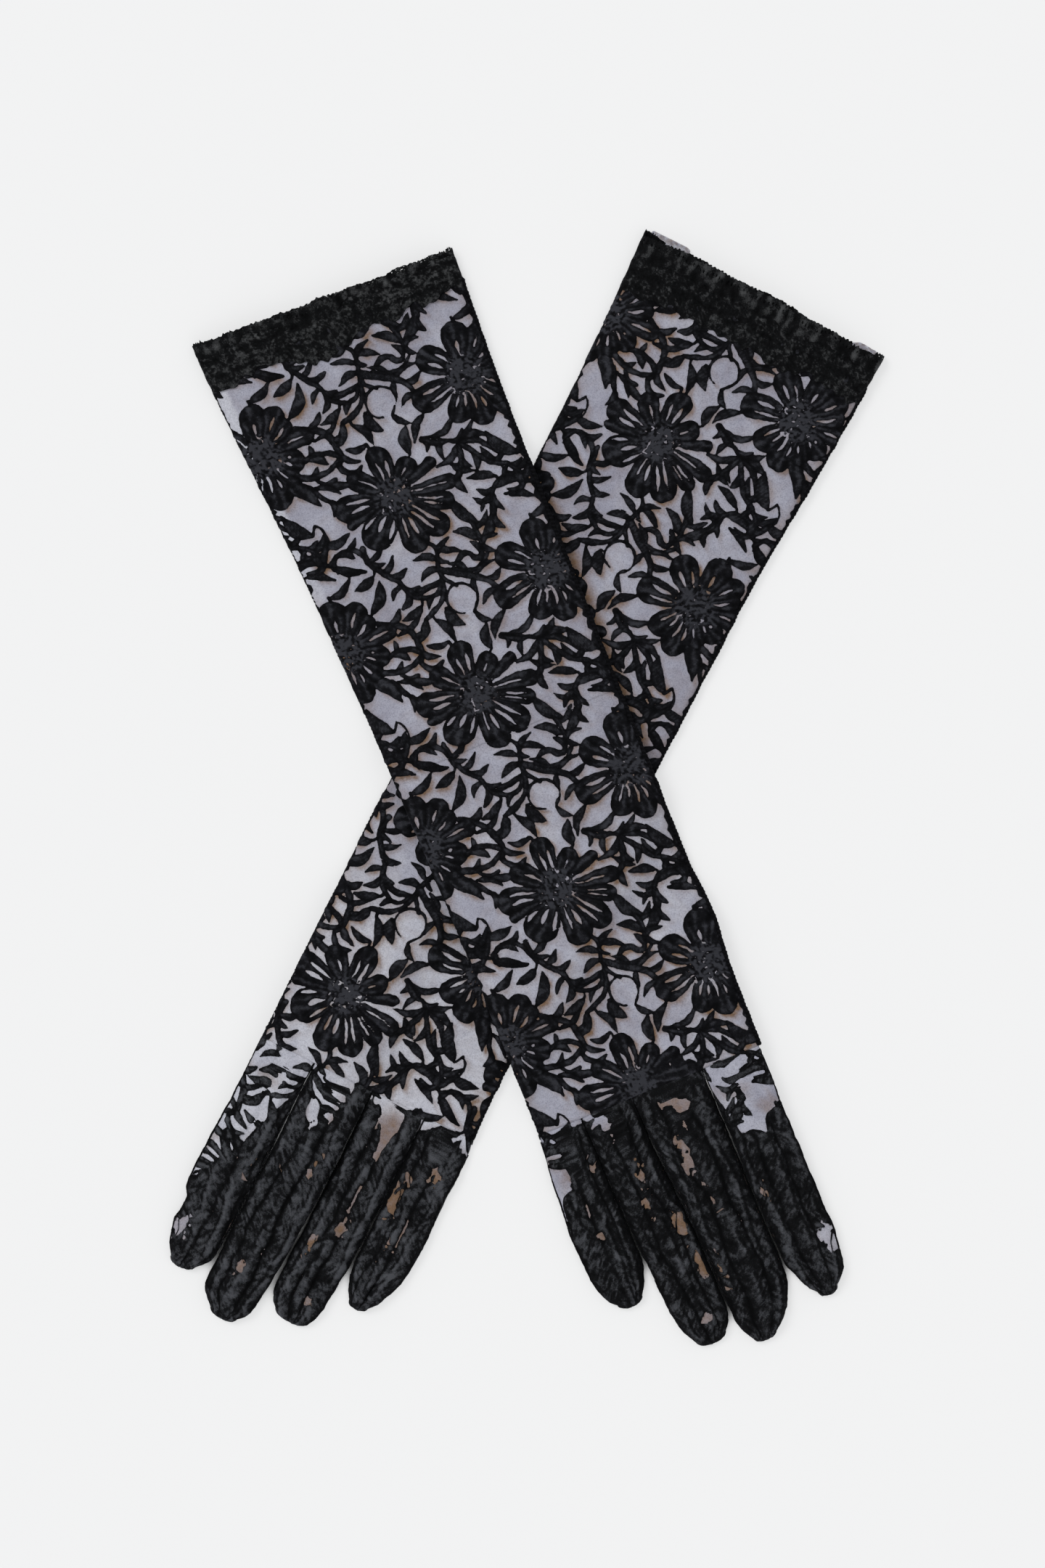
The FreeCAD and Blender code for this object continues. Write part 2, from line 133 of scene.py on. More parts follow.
def cut(el):
    ix, d = el
    HOLE[ix] = np.minimum(HOLE[ix], d)


def curve(pts, n=14):
    p = np.asarray(pts, float)
    if len(p) == 2:
        return p[0] + (p[1] - p[0]) * np.linspace(0, 1, n)[:, None]
    q = np.vstack([2 * p[0] - p[1], p, 2 * p[-1] - p[-2]])
    out = []
    for k in range(len(p) - 1):
        a, b, c, d = q[k:k + 4]
        t = np.linspace(0, 1, n, endpoint=False)[:, None]
        out.append(0.5 * ((2 * b) + (-a + c) * t + (2 * a - 5 * b + 4 * c - d) * t * t + (-a + 3 * b - 3 * c + d) * t ** 3))
    return np.vstack(out + [p[-1:]])


LEAVES = []


def leaf(s0, t0, s1, t1, w, bend=0.0):
    LEAVES.append((s0, t0, s1, t1, w, bend))


def to_cord(p):
    """the nearest point on what is drawn already, and how far it is"""
    q, near = p.copy(), 0.0
    for k in range(7):
        i, j = int(round(q[0] / RES)), int(round(q[1] / RES))
        d = D1[i % NX, j % NY]
        if k == 0:
            near = d
        if d < 0.05:
            break
        v = np.array([D1[(i + 1) % NX, j % NY] - D1[(i - 1) % NX, j % NY], D1[i % NX, (j + 1) % NY] - D1[i % NX, (j - 1) % NY]])
        q = q - (d + 0.25) * v / max(np.hypot(*v), 1e-6)
    return q, near


def draw_leaves():
    """pointed leaves, each joined to the nearest stem or petal by a fine stalk"""
    joined = []
    for s0, t0, s1, t1, w, bend in LEAVES:
        a, b = np.array([t0, s0], float), np.array([t1, s1], float)
        (qa, da), (qb, db) = to_cord(a), to_cord(b)
        if db < da:
            a, b, qa, da, bend = b, a, qb, db, -bend
        joined.append((a, b, w, bend, qa, da))
    for a, b, w, bend, qa, da in joined:
        a, b = a - (b - a) * 0.05, b + (b - a) * 0.14
        n = np.array([-(b - a)[1], (b - a)[0]])
        c = curve([a, (a + b) / 2 + n * bend * 1.3, b], 9)
        h = np.linspace(0, 1, len(c))
        put(strokes(c, 0.16 + 1.02 * w / 2 * np.sin(np.pi * np.clip(h, 0, 1) ** 0.90) ** 1.15))
        if 0.1 < da < 5.0:
            put(strokes(curve([a + (b - a) * 0.12, a, qa], 4), np.full(9, 0.34)))


def stem(pts, w, twigs=True):
    c = curve([(t, s) for s, t in pts], 8)
    h = np.linspace(0, 1, len(c))
    w = w if isinstance(w, list) else [w] * len(pts)
    put(strokes(c, 0.16 + 0.66 * np.interp(h, np.linspace(0, 1, len(w)), w) / 2))
    if not twigs:
        return
    # leaflets set alternately along the stem, leaning forward
    length = np.concatenate([[0], np.cumsum(np.hypot(*np.diff(c, axis=0).T))])
    side = RNG.choice([-1, 1])
    for x in np.arange(0.6 + 0.8 * RNG.rand(), length[-1], 1.75):
        i = int(np.clip(np.searchsorted(length, x), 1, len(c) - 2))
        v = c[i + 1] - c[i - 1]
        side = -side
        TWIGS.append((c[i], math.atan2(v[1], v[0]), side))


TWIGS = []


def draw_twigs():
    for a, ang, side in TWIGS:
        # the longest leaflet that still ends in open ground
        for size in (7.6, 6.4, 5.3, 4.3):
            turn = side * (0.50 + 0.50 * RNG.rand())
            v = np.array([math.cos(ang + turn), math.sin(ang + turn)])
            b = a + v * size * (0.9 + 0.2 * RNG.rand())
            spots = [a + (b - a) * f for f in (0.42, 0.60, 0.8, 1.0)]
            if min(math.hypot(b[0] - 3.9, b[1] - 117.3), math.hypot(b[0] + 37.4, b[1] - 153.6)) < 6.5:
                continue
            free = [D1[int(round(q[0] / RES)) % NX, int(round(q[1] / RES)) % NY] for q in spots]
            if free[0] > 0.45 and free[1] > 0.85 and free[2] > 0.85 and free[3] > 0.7:
                n = np.array([-(b - a)[1], (b - a)[0]])
                c = curve([a, (a + b) / 2 - n * side * (0.15 + 0.12 * RNG.rand()), b], 8)
                h = np.linspace(0, 1, len(c))
                put(strokes(c, 0.17 + size * (0.118 + 0.030 * RNG.rand()) * np.sin(np.pi * h ** 1.12) ** 1.15))
                break


def ring(s, t, r, w, a0=20, a1=345):
    a = np.radians(np.linspace(a0, a1, 27))
    put(strokes(np.stack([t + r * np.cos(a), s + r * np.sin(a)], 1), w / 2 * (0.62 + 0.38 * np.sin(np.linspace(0, np.pi, 27)))))


def petal(cs, ct, ts, tt, w, slits=2, root=0.40, r0=4.0):
    c, tip = np.array([ct, cs], float), np.array([tt, ts], float)
    v = tip - c
    length = np.hypot(*v)
    v = v / length
    n = np.array([-v[1], v[0]])
    h = np.linspace(0, 1, 9)
    r = w / 2 * (root + (1 - root) * np.sin(np.pi / 2 * h) ** 1.2)
    path = c + v * (r0 + (length - w / 2 - r0) * h)[:, None]
    put(strokes(path, r))
    # a soft two-lobed tip
    for k in (-1, 1):
        q = path[-1] + n * k * w * 0.20 + v * w * 0.05
        put(strokes([path[-2], q], [w * 0.28, w * 0.30]))
    for k in range(slits):
        off = (k - (slits - 1) / 2) * w * (0.34 + 0.06 * RNG.rand())
        a = c + v * (r0 + 1.6 + 3.2 * RNG.rand()) + n * off * 0.62
        b = c + v * (length - w * (0.40 + 0.30 * RNG.rand())) + n * off * 1.05
        q = curve([a, (a + b) / 2 + n * (RNG.rand() - 0.5) * 1.1, b], 7)
        hh = np.linspace(0, 1, len(q))
        cut(strokes(q, 0.03 + w * (0.040 + 0.040 * RNG.rand()) * np.sin(np.pi * hh ** (0.8 + 0.9 * RNG.rand())) ** 0.9))


def heart(cs, ct, r):
    c = np.array([ct, cs], float)
    put(strokes([c, c + 0.01], [r * 0.9, r * 0.9]))
    for k in range(60):
        a, q = RNG.rand() * 2 * np.pi, r * 1.02 * RNG.rand() ** 0.55
        p = c + q * np.array([math.cos(a), math.sin(a)])
        b = a + RNG.randn() * 0.9
        cut(strokes([p, p + (0.3 + 0.9 * RNG.rand()) * np.array([math.cos(b), math.sin(b)])], [0.08 + 0.15 * RNG.rand(), 0.06 + 0.10 * RNG.rand()]))


BLOOMS = ((150.0, -4.5, 7.4), (119.5, 35.5, 7.9))
for ts, tt, w, sl in ((147.4, -25.8, 9.2, 2), (137.2, -16.6, 7.6, 1), (131.0, -4.2, 8.6, 2), (138.8, 6.2, 7, 1), (142.8, 13.6, 4.0, 0),
                      (152.7, 18.4, 5.8, 1), (159.6, 14.6, 5.8, 2), (168, 8.5, 8.8, 2), (171.5, -2.5, 9.5, 2),
                      (164.2, -18.6, 11.6, 3), (154.0, -23.6, 3.6, 0)):
    petal(150.0, -4.5, ts, tt, w, sl)
heart(*BLOOMS[0])
for ts, tt, w, sl in ((123, 14.4, 9.4, 2), (106.4, 22.4, 9.8, 2), (100.4, 38, 9.8, 1), (104.8, 47.6, 7.8, 1), (110.6, 49.6, 6.2, 1),
                      (117.6, 55.6, 6.2, 1), (126.8, 49.4, 8.2, 2), (133.6, 43.6, 7.6, 1), (138.8, 36, 9.2, 2), (134.6, 26.6, 8.6, 2)):
    petal(119.5, 35.5, ts, tt, w, sl)
heart(*BLOOMS[1])
for a in ((91.2, -33.8, 95, -25, 2.4, .04), (99.5, -39.3, 96, -31, 2.5, .1), (100.5, -29.5, 98, -22.5, 3.0, .06), (101.2, -21.6, 110, -27.6, 3.6, -.12),
          (106.2, -6.2, 104.4, .4, 2.2, -.12), (108.2, -10.4, 108, -1, 1.5, .1), (116.8, -18, 114.2, -10.6, 2.6, .06),
          (119.6, -11.6, 125.6, -15.8, 3.0, -.1), (121, -8, 129.4, -4.4, 2.7, -.1), (119, -2.8, 125.8, .8, 3.6, .1),
          (98.4, 2.2, 101.4, 9.4, 2.1, -.06), (95.2, 11.2, 100.4, 18, 2.9, -.1), (99.8, 20.2, 93.6, 26.4, 3.1, .1),
          (132.2, -39.2, 142, -31, 4.7, -.1), (137, -24.4, 140.4, -15.6, 2.2, .05), (156.4, -34.4, 155.8, -25.2, 3.0, .1),
          (164.8, -33.8, 170, -25.4, 2.7, .05), (157.8, -38.8, 163.2, -35.8, 2.7, .1), (134.6, 15.2, 131.6, 25.4, 2.0, .14),
          (145.4, 14.4, 140.8, 23.4, 2.1, .12), (140.4, 24.4, 142.2, 33.4, 2.3, -.1), (154.2, 23, 157, 31.4, 2.5, -.06),
          (142.2, 34.8, 151.6, 41.4, 4.5, .1), (161.2, 30.4, 161.8, 38.6, 2.4, -.12), (164.6, 33.4, 168.4, 41.6, 2.2, -.06),
          (159.4, 13.6, 169, 20, 3.7, .08), (129.6, 8.4, 137.4, 7, 3.4, .1), (127, 16, 134.2, 10.4, 2.7, .1),
          (128.6, -13.2, 129.6, -6.4, 2.0, .12), (112.6, 11.2, 117.4, 10.0, 1.7, .1), (123.4, 6.4, 127.6, 10.2, 1.9, .1),
          (145.8, 30.6, 151, 33.4, 1.8, .1), (147.2, 18.6, 151.6, 24.4, 1.5, .1), (120.8, -22.4, 117.4, -13.6, 1.6, .1),
          (140.4, 23.4, 136.2, 30.4, 2.0, .08), (141.2, 24.0, 147.8, 33.6, 1.6, -.12), (96.4, 18.6, 92.6, 24.2, 1.7, .1), (102, 18.4, 105.8, 22.0, 1.6, .1),
          (100.2, 1.6, 96.0, 7.4, 1.7, -.1), (101.8, .9, 98.6, -6.0, 1.9, .1), (112.6, -4.6, 116.2, -8.4, 1.5, .1), (128.4, -17.6, 133.2, -11.4, 1.9, .1),
          (124, -18.2, 121.6, -12.2, 1.5, .1), (161.6, -28.6, 158.6, -23.4, 1.9, .1), (161.2, -31.8, 166.8, -33.4, 1.6, .1), (136.6, -28.6, 141.2, -22.2, 1.9, -.1),
          (152.2, 32.4, 148.6, 37.4, 1.7, .1), (154.8, 37.4, 160.2, 35.0, 1.5, .1), (162.8, 28.6, 166.6, 23.2, 1.9, .1), (164.8, 27.9, 161.4, 21.6, 1.6, -.1),
          (108.8, 10.2, 104.8, 5.0, 1.4, .1), (111.4, 12.4, 109.4, 19.6, 1.8, -.1), (138.6, 18.4, 143.6, 16.6, 1.6, .1), (92.4, -21.2, 89.4, -14.6, 1.8, .1),
          (98.6, -19.2, 94.8, -13.6, 1.8, .1), (104.8, -14.2, 108.6, -18.4, 1.6, .1), (118.6, 16.2, 121.6, 10.8, 1.6, .1), (157.8, 40.2, 153.6, 44.8, 1.9, .1)):
    leaf(*a)
for pts, w in (
        ([(88, -21.6), (92, -21.6), (96, -20.8)], [2.3, 2.6, 2.0]),
        ([(95.5, -20.4), (98, -19), (101, -16.6), (103.4, -14.5), (106, -13.6), (109, -12.6), (111.2, -10.4), (112.8, -7.4), (113, -4.6), (111.6, -2.4), (108.6, -1)],
         [1.7, 2.3, 2.5, 2.1, 1.6, 2.1, 1.9, 1.5, 1.4, 1.4, 1.3]),
        ([(109.6, -12), (110.2, -8), (110, -4), (108.4, -1)], 0.8),
        ([(93, -1), (97, 1.8), (101, 1.4), (104.6, .4)], [1.2, 1.3, 1.3, 1.7]),
        ([(88, 15), (92, 17), (95, 18.3), (99, 19), (103, 18.4), (106, 16.8)], [2.3, 2.4, 2.0, 1.4, 1.3, 1.1]),
        ([(104.6, 7.4), (103.2, 10.2), (103.8, 12.8), (106, 14.6), (106.2, 16.6), (103.4, 18.2)], [1.5, 2.5, 2.0, 2.7, 2.1, 1.3]),
        ([(106.4, 5.6), (108.6, 9), (109.4, 13), (108.6, 16.6), (106, 19.4)], [1.5, 1.4, 1.4, 1.3, 1.0]),
        ([(104.4, 0), (106.6, 3.4), (109.4, 8), (112, 12), (114.6, 15), (117.6, 16.4)], [2.3, 3.2, 3.4, 3.2, 2.7, 1.9]),
        ([(104.8, .4), (108.5, 1), (112.4, 4.4)], [1.8, 1.6, 1.1]),
        ([(119.4, -11.4), (118.4, -8.2), (117, -5), (115, -2.6), (111.5, -.6), (107, .2)], [1.3, 2.3, 2.1, 1.7, 1.5, 1.5]),
        ([(114.4, -27.4), (116.6, -23.4), (119, -20), (122.4, -17.8), (126, -17.2), (129.8, -16.6), (133, -18.6)], [2.2, 2.3, 2.6, 2.7, 2.3, 1.7, 1.3]),
        ([(125.6, -34.4), (126.6, -29.4), (125.6, -25.4), (127, -20.6), (129.8, -17)], [2.6, 2.1, 1.8, 2.1, 1.9]),
        ([(131.4, -33), (133, -27.6), (133, -22.4), (131, -18.4)], [3.0, 2.5, 2.2, 1.5]),
        ([(135.4, -31), (137.6, -29.6), (141, -28), (144.6, -25)], [1.3, 1.7, 1.7, 1.3]),
        ([(134.6, -27), (136.8, -24.4), (136.6, -21)], [1.0, 1.7, 1.1]),
        ([(133, -18.4), (135, -17.4), (138, -14)], [1.5, 2.3, 1.9]),
        ([(135, 12), (138.4, 17), (138.8, 20.6), (140.6, 23.4)], [1.7, 2.3, 1.7, 1.5]),
        ([(134.4, 12.4), (136, 16.6), (138.4, 20)], 0.8),
        ([(140.6, 23.6), (145, 26.4), (149.2, 29.6), (152, 32), (154.6, 37), (158.4, 40.6)], [1.7, 2.5, 2.7, 2.1, 1.9, 1.3]),
        ([(140.6, 23.6), (146, 22.6), (151, 20.2), (153.6, 17)], [1.7, 2.5, 3.0, 2.5]),
        ([(158.6, 32.6), (161, 29.6), (164.4, 28), (168, 27.6), (171, 25.2)], [1.5, 1.9, 2.1, 2.4, 2.8]),
        ([(158.8, 32.4), (158.6, 37), (159.6, 42)], [1.4, 1.6, 1.5]),
        ([(163.6, -35), (161.4, -30.4), (161.6, -26), (164.4, -22.8), (168.4, -21.6)], [1.7, 2.1, 1.9, 2.1, 2.3]),
        ([(156.4, -33), (159.6, -35), (163.4, -38), (165.6, -41)], [2.5, 2.8, 2.8, 2.5]),
        ([(99, -39.6), (103, -39.2)], 0.8),
        ([(94.2, 26), (91, 27), (87.6, 28)], 0.8)):
    stem(pts, w)
ring(117.3, 3.9, 5.5, 0.62, 100, 400)
ring(153.6, -37.4, 5.6, 0.62, -60, 250)
draw_leaves()
draw_twigs()
MOTIF = np.maximum(D1 - 0.17, -HOLE)
CREASE = D2 - D1
# veins: threads laid out from the heart of each flower, slanting ones elsewhere
gx, gy = np.meshgrid(np.arange(NX) * RES, np.arange(NY) * RES, indexing="ij")
VEIN = 0.5 * np.cos(2 * math.pi * (gx + gy * 0.52) / 1.3)
EYE = np.zeros((NX, NY))
for bs, bt, br in BLOOMS:
    ex, ey = np.mod(gx - bt + PW / 2, PW) - PW / 2, np.mod(gy - bs + PH / 2, PH) - PH / 2
    rr = np.hypot(ex, ey)
    VEIN = np.where(rr < 24, np.cos(30 * np.arctan2(ey, ex) + 0.5 * np.sin(rr)), VEIN)
    EYE = np.maximum(EYE, 1 - smooth(br * 0.75, br * 1.15, rr))


def repeat(field, t, s):
    """value of a field of the repeat at fabric points, t across and s along"""
    x, y = np.mod(t, PW) / RES, np.mod(s, PH) / RES
    i, j = np.floor(x).astype(int), np.floor(y).astype(int)
    fx, fy = x - i, y - j
    i0, i1, j0, j1 = i % NX, (i + 1) % NX, j % NY, (j + 1) % NY
    return (field[i0, j0] * (1 - fx) * (1 - fy) + field[i1, j0] * fx * (1 - fy)
            + field[i0, j1] * (1 - fx) * fy + field[i1, j1] * fx * fy)


# ------------------------------------------------------------------ the two gloves
class Glove:
    pass


RIGHT, LEFT = Glove(), Glove()
RIGHT.name, RIGHT.hand, RIGHT.o, RIGHT.deg, RIGHT.base = "right", 1.0, (-70.720, 174.132), -67.5, 303.5
LEFT.name, LEFT.hand, LEFT.o, LEFT.deg, LEFT.base = "left", -1.0, (85.280, 173.332), -116.3, 313.0
RIGHT.thumb = [(-4, 48.0), (2, 47.6), (10, 47.3), (20, 46.4), (40, 45.4), (60, 44.6), (84, 44.0), (100, 43.6), (150, 42.8), (200, 42.2), (225, 41.7),
               (236, 41.7), (243, 42.7), (252, 43.1), (260, 42.5), (270, 41.4), (280, 40.9), (320, 40.5)]
RIGHT.little = [(-4, 49.8), (10, 49.6), (20, 49.3), (40, 48.1), (60, 46.7), (80, 45.5), (100, 44.7), (120, 44.1), (150, 43.2), (200, 42.6),
                (240, 42.4), (280, 43.0), (320, 43.8)]
LEFT.thumb = [(-4, 48.4), (10, 48.1), (20, 47.7), (40, 47.2), (60, 47.0), (80, 47.3), (100, 47.2), (150, 45.5), (212, 43.5), (230, 44.0),
              (250, 43.7), (280, 43.9), (330, 44.0)]
LEFT.little = [(-4, 46.6), (10, 46.0), (20, 45.4), (40, 44.4), (60, 43.0), (80, 41.3), (100, 40.3), (140, 39.5), (170, 38.7), (235, 38.3),
               (284, 38.3), (300, 38.2), (330, 39.2)]
# stall outlines: towards the thumb, towards the little finger, tip
RIGHT.fingers = {
    "index": ([(303.5, 40.5), (330, 40.1), (350, 40.1), (367, 40.2), (372, 40.4), (378, 39.9), (385, 39.1), (387.5, 38.5), (390, 36.5), (392.2, 33.9)],
              [(303.5, 18.75), (330, 19.05), (360, 18.9), (377, 19.3), (380, 19.7), (382.5, 20.9), (387.5, 22.8), (390, 24.1), (392.2, 26.3)], (394.7, 29.9)),
    "middle": ([(303.5, 18.5), (320, 18.65), (350, 18.45), (375, 18.5), (382.5, 18.4), (385, 18.0), (387.5, 17.0), (392.5, 14.7), (395, 12.6), (397.6, 10.2), (399.0, 7.8)],
               [(303.5, -7.9), (320, -7.45), (340, -6.25), (360, -5.2), (380, -5.0), (390, -4.6), (392.5, -4.0), (395, -3.1), (397.5, -1.8), (399.0, -.8)], (400.9, 3.0)),
    "ring": ([(303.5, -8.25), (320, -7.8), (340, -6.6), (360, -5.6), (375, -5.4), (385, -5.5), (387.5, -5.9), (390, -7.0), (392.4, -9.0)],
             [(303.5, -27.3), (320, -26.9), (345, -26.3), (357, -26.0), (360, -25.6), (370, -25.2), (380, -24.6), (385, -23.8), (387.5, -23.0), (390, -21.5), (392.4, -20.2)], (394.9, -14.4)),
    "little": ([(303.5, -27.6), (320, -27.2), (350, -26.8), (357, -26.7), (360, -27.2), (362.5, -28.1), (365, -28.8), (367.5, -30.2), (369.6, -31.6)],
               [(303.5, -43.7), (310, -44.3), (320, -45.5), (330, -46.2), (340, -47.0), (350, -46.9), (357.5, -46.3), (362.5, -45.3), (365, -44.3), (367.5, -43.1), (369.6, -40.9)], (371.9, -36.4)),
}
LEFT.fingers = {
    "index": ([(313, 44.0), (330, 44.2), (345, 44.5), (352, 45.0), (369, 45.2), (372.5, 44.6), (375, 42.9), (380, 42.8), (384, 43.6), (387.5, 42.8), (392.5, 41.4), (395, 39.8), (396.8, 38.7)],
              [(313, 23.4), (340, 23.4), (360, 23.7), (380, 24.1), (390, 24.6), (392.5, 25.3), (395, 27.2), (396.8, 29.2)], (399.0, 34.2)),
    "middle": ([(313, 23.1), (340, 23.05), (360, 23.35), (380, 23.6), (390, 23.6), (400, 23.7), (402.5, 22.4), (405, 20.0), (406.8, 18.0)],
               [(313, 0.7), (340, 0.75), (360, 1.1), (378, 1.9), (390, 2.7), (395, 3.4), (400, 3.9), (402.5, 4.4), (405, 5.6), (406.8, 7.6)], (408.9, 13.0)),
    "ring": ([(313, 0.35), (340, 0.35), (370, 0.5), (385, 1.1), (390, 1.1), (392.5, 0.4), (395, -.7), (397, -2.6)],
             [(313, -20.2), (340, -20.1), (360, -19.9), (372.5, -19.7), (377.5, -19.0), (385, -18.5), (390, -18.3), (392.5, -17.6), (395, -16.9), (397, -15.8)], (399.2, -9.6)),
    "little": ([(313, -20.55), (350, -20.6), (370, -20.6), (375, -21.4), (380, -23.2), (382.8, -25.0)],
               [(313, -39.2), (317, -39.9), (325, -40.2), (335, -39.7), (347.5, -40.0), (355, -40.3), (362, -39.7), (370, -38.7), (375, -36.9), (380, -34.8), (382.8, -32.0)], (384.9, -28.6)),
}
RIGHT.floor = {"index": 4.9, "middle": 3.0, "ring": 0.5, "little": 0.5}
LEFT.floor = {"index": 4.9, "middle": 4.9, "ring": 0.3, "little": 0.3}
for g in (RIGHT, LEFT):
    a = math.radians(g.deg)
    g.d, g.n = (math.cos(a), math.sin(a)), (-math.sin(a), math.cos(a))


def edge(table, s):
    x, y = np.array(table, float).T
    s = np.asarray(s, float)
    return (np.interp(s - 2.5, x, y) + 2 * np.interp(s, x, y) + np.interp(s + 2.5, x, y)) / 4


def world(g, s, u, z):
    """glove frame in mm to the shared frame in metres"""
    t = u * g.hand
    return np.stack([g.o[0] + s * g.d[0] + t * g.n[0], g.o[1] + s * g.d[1] + t * g.n[1], z + 0 * s], -1) / 1000.0


def to_left(s, u):
    """right-glove coordinates to left-glove coordinates"""
    x = RIGHT.o[0] + s * RIGHT.d[0] + u * RIGHT.n[0] - LEFT.o[0]
    y = RIGHT.o[1] + s * RIGHT.d[1] + u * RIGHT.n[1] - LEFT.o[1]
    return x * LEFT.d[0] + y * LEFT.d[1], -(x * LEFT.n[0] + y * LEFT.n[1])


def floor_z(g, s, u):
    """height of the underside: the table, the tucked thumb, or the glove below"""
    s, u = np.broadcast_arrays(np.asarray(s, float), np.asarray(u, float))
    if g is LEFT:
        return 0.05 + 4.85 * smooth(-5, 14, u) * smooth(243, 261, s)
    ls, lu = to_left(s, u)
    out = np.maximum(-edge(LEFT.little, ls) - lu, lu - edge(LEFT.thumb, ls))
    over = (1 - smooth(1.5, 19, out)) * smooth(-10, 10, ls)
    over = over * 5.85
    thumb = 4.6 * smooth(-5, 14, u) * smooth(236, 256, s)
    return 0.25 + (over ** 4 + thumb ** 4 + 1e-9) ** 0.25


HTAB = [(-5, 7.6), (0, 7.9), (17, 7.7), (50, 6.6), (84, 4.9), (238, 4.9), (330, 4.2)]


def height(g, s):
    x, y = np.array(HTAB, float).T
    s = np.asarray(s, float)
    return (np.interp(s - 8, x, y) + np.interp(s, x, y) + np.interp(s + 8, x, y)) / 3


def ripple(g, s, u):
    k = 0.0 if g is RIGHT else 40.0
    v = 0.34 * fractal(N1, s / 26.0 + k, u / 17.0 + k) + 0.16 * fractal(N2, s / 9.0 + k, u / 13.0)
    v = v + 0.30 * N3(s / 60.0 + k, u / 6.5 + 0.35 * N4(s / 30.0, k)) * smooth(250, 300, s)
    return v


MID, PT, PB = 0.36, 2.3, 3.6


def tube(g, s, xh, side, inset=0.0):
    """surface of the sleeve and hand: s along, xh across from -1 to 1, side 1 for the back and -1 for the palm"""
    s, xh = np.broadcast_arrays(np.asarray(s, float), np.asarray(xh, float))
    ut, ul = edge(g.thumb, s), edge(g.little, s)
    c, w = (ut - ul) / 2, (ut + ul) / 2 - inset
    u = c + w * xh
    h = height(g, s)
    ax = np.clip(np.abs(xh), 0, 1)
    z0 = floor_z(g, s, u)
    if side > 0:
        prof = np.clip(1 - ax ** PT, 0, 1) ** (1 / PT)
        z = z0 + MID * h + ((1 - MID) * h - inset) * prof + ripple(g, s, u) * smooth(0, 0.25, 1 - ax)
    else:
        prof = np.clip(1 - ax ** PB, 0, 1) ** (1 / PB)
        z = np.maximum(z0 + MID * h - (MID * h - inset) * prof, 0.42 + inset)
    return u, z


def wrap(g, s, side, step, inset=0.0):
    """grid over one side of the tube: rows at s, columns at equal arc steps from the middle"""
    th = np.linspace(0.0, math.pi, 121)[None, :]
    p = PT if side > 0 else PB
    xh = -np.sign(np.cos(th)) * np.abs(np.cos(th)) ** (2 / p)
    ut, ul = edge(g.thumb, s), edge(g.little, s)
    u, z = tube(g, s[:, None], xh, side, inset)
    arc = np.concatenate([np.zeros((len(s), 1)), np.cumsum(np.hypot(np.diff(u, axis=1), np.diff(z, axis=1)), 1)], 1)
    # the arc is counted from the glove's axis, so the pattern runs straight down the glove
    mid = np.array([np.interp(0.0, u[i], arc[i]) for i in range(len(s))])
    lo, hi = -mid, arc[:, -1] - mid
    cols = np.arange(math.floor(lo.min() / step) - 1, math.ceil(hi.max() / step) + 2) * step
    X = np.empty((len(s), len(cols)))
    for i in range(len(s)):
        X[i] = np.interp(cols + mid[i], arc[i], xh[0])
    u, z = tube(g, s[:, None], X, side, inset)
    over = np.maximum(lo[:, None] - cols[None, :], cols[None, :] - hi[:, None])
    return cols, X, u, z, over


# ------------------------------------------------------------------ mesh building
def mesh_object(name, verts, tris, uv=None, attrs=None, mat=None, quads=None, shade=True):
    me = bpy.data.meshes.new(name)
    verts = np.asarray(verts, np.float32).reshape(-1, 3)
    faces = []
    sizes = []
    if tris is not None and len(tris):
        faces.append(np.asarray(tris, np.int32).reshape(-1))
        sizes.append(np.full(len(tris), 3, np.int32))
    if quads is not None and len(quads):
        faces.append(np.asarray(quads, np.int32).reshape(-1))
        sizes.append(np.full(len(quads), 4, np.int32))
    loops = np.concatenate(faces)
    sizes = np.concatenate(sizes)
    starts = np.concatenate([[0], np.cumsum(sizes)[:-1]]).astype(np.int32)
    me.vertices.add(len(verts))
    me.vertices.foreach_set("co", verts.reshape(-1))
    me.loops.add(len(loops))
    me.loops.foreach_set("vertex_index", loops)
    me.polygons.add(len(sizes))
    me.polygons.foreach_set("loop_start", starts)
    me.polygons.foreach_set("loop_total", sizes)
    me.update(calc_edges=True)
    if uv is not None:
        layer = me.uv_layers.new(name="OFBake")
        layer.data.foreach_set("uv", np.asarray(uv, np.float32)[loops].reshape(-1))
    for k, v in (attrs or {}).items():
        at = me.attributes.new(k, "FLOAT", "POINT")
        at.data.foreach_set("value", np.asarray(v, np.float32).reshape(-1))
    me.validate()
    me.polygons.foreach_set("use_smooth", np.full(len(me.polygons), shade))
    me.update()
    o = bpy.data.objects.new(name, me)
    bpy.context.scene.collection.objects.link(o)
    if mat is not None:
        me.materials.append(mat)
    return o


def grid_normals(P, out):
    a, b = np.gradient(P, axis=0), np.gradient(P, axis=1)
    n = np.cross(a, b)
    n /= np.maximum(np.linalg.norm(n, axis=-1, keepdims=True), 1e-12)
    flip = np.mean(np.sum(n * out, -1)) < 0
    return (-n if flip else n), flip


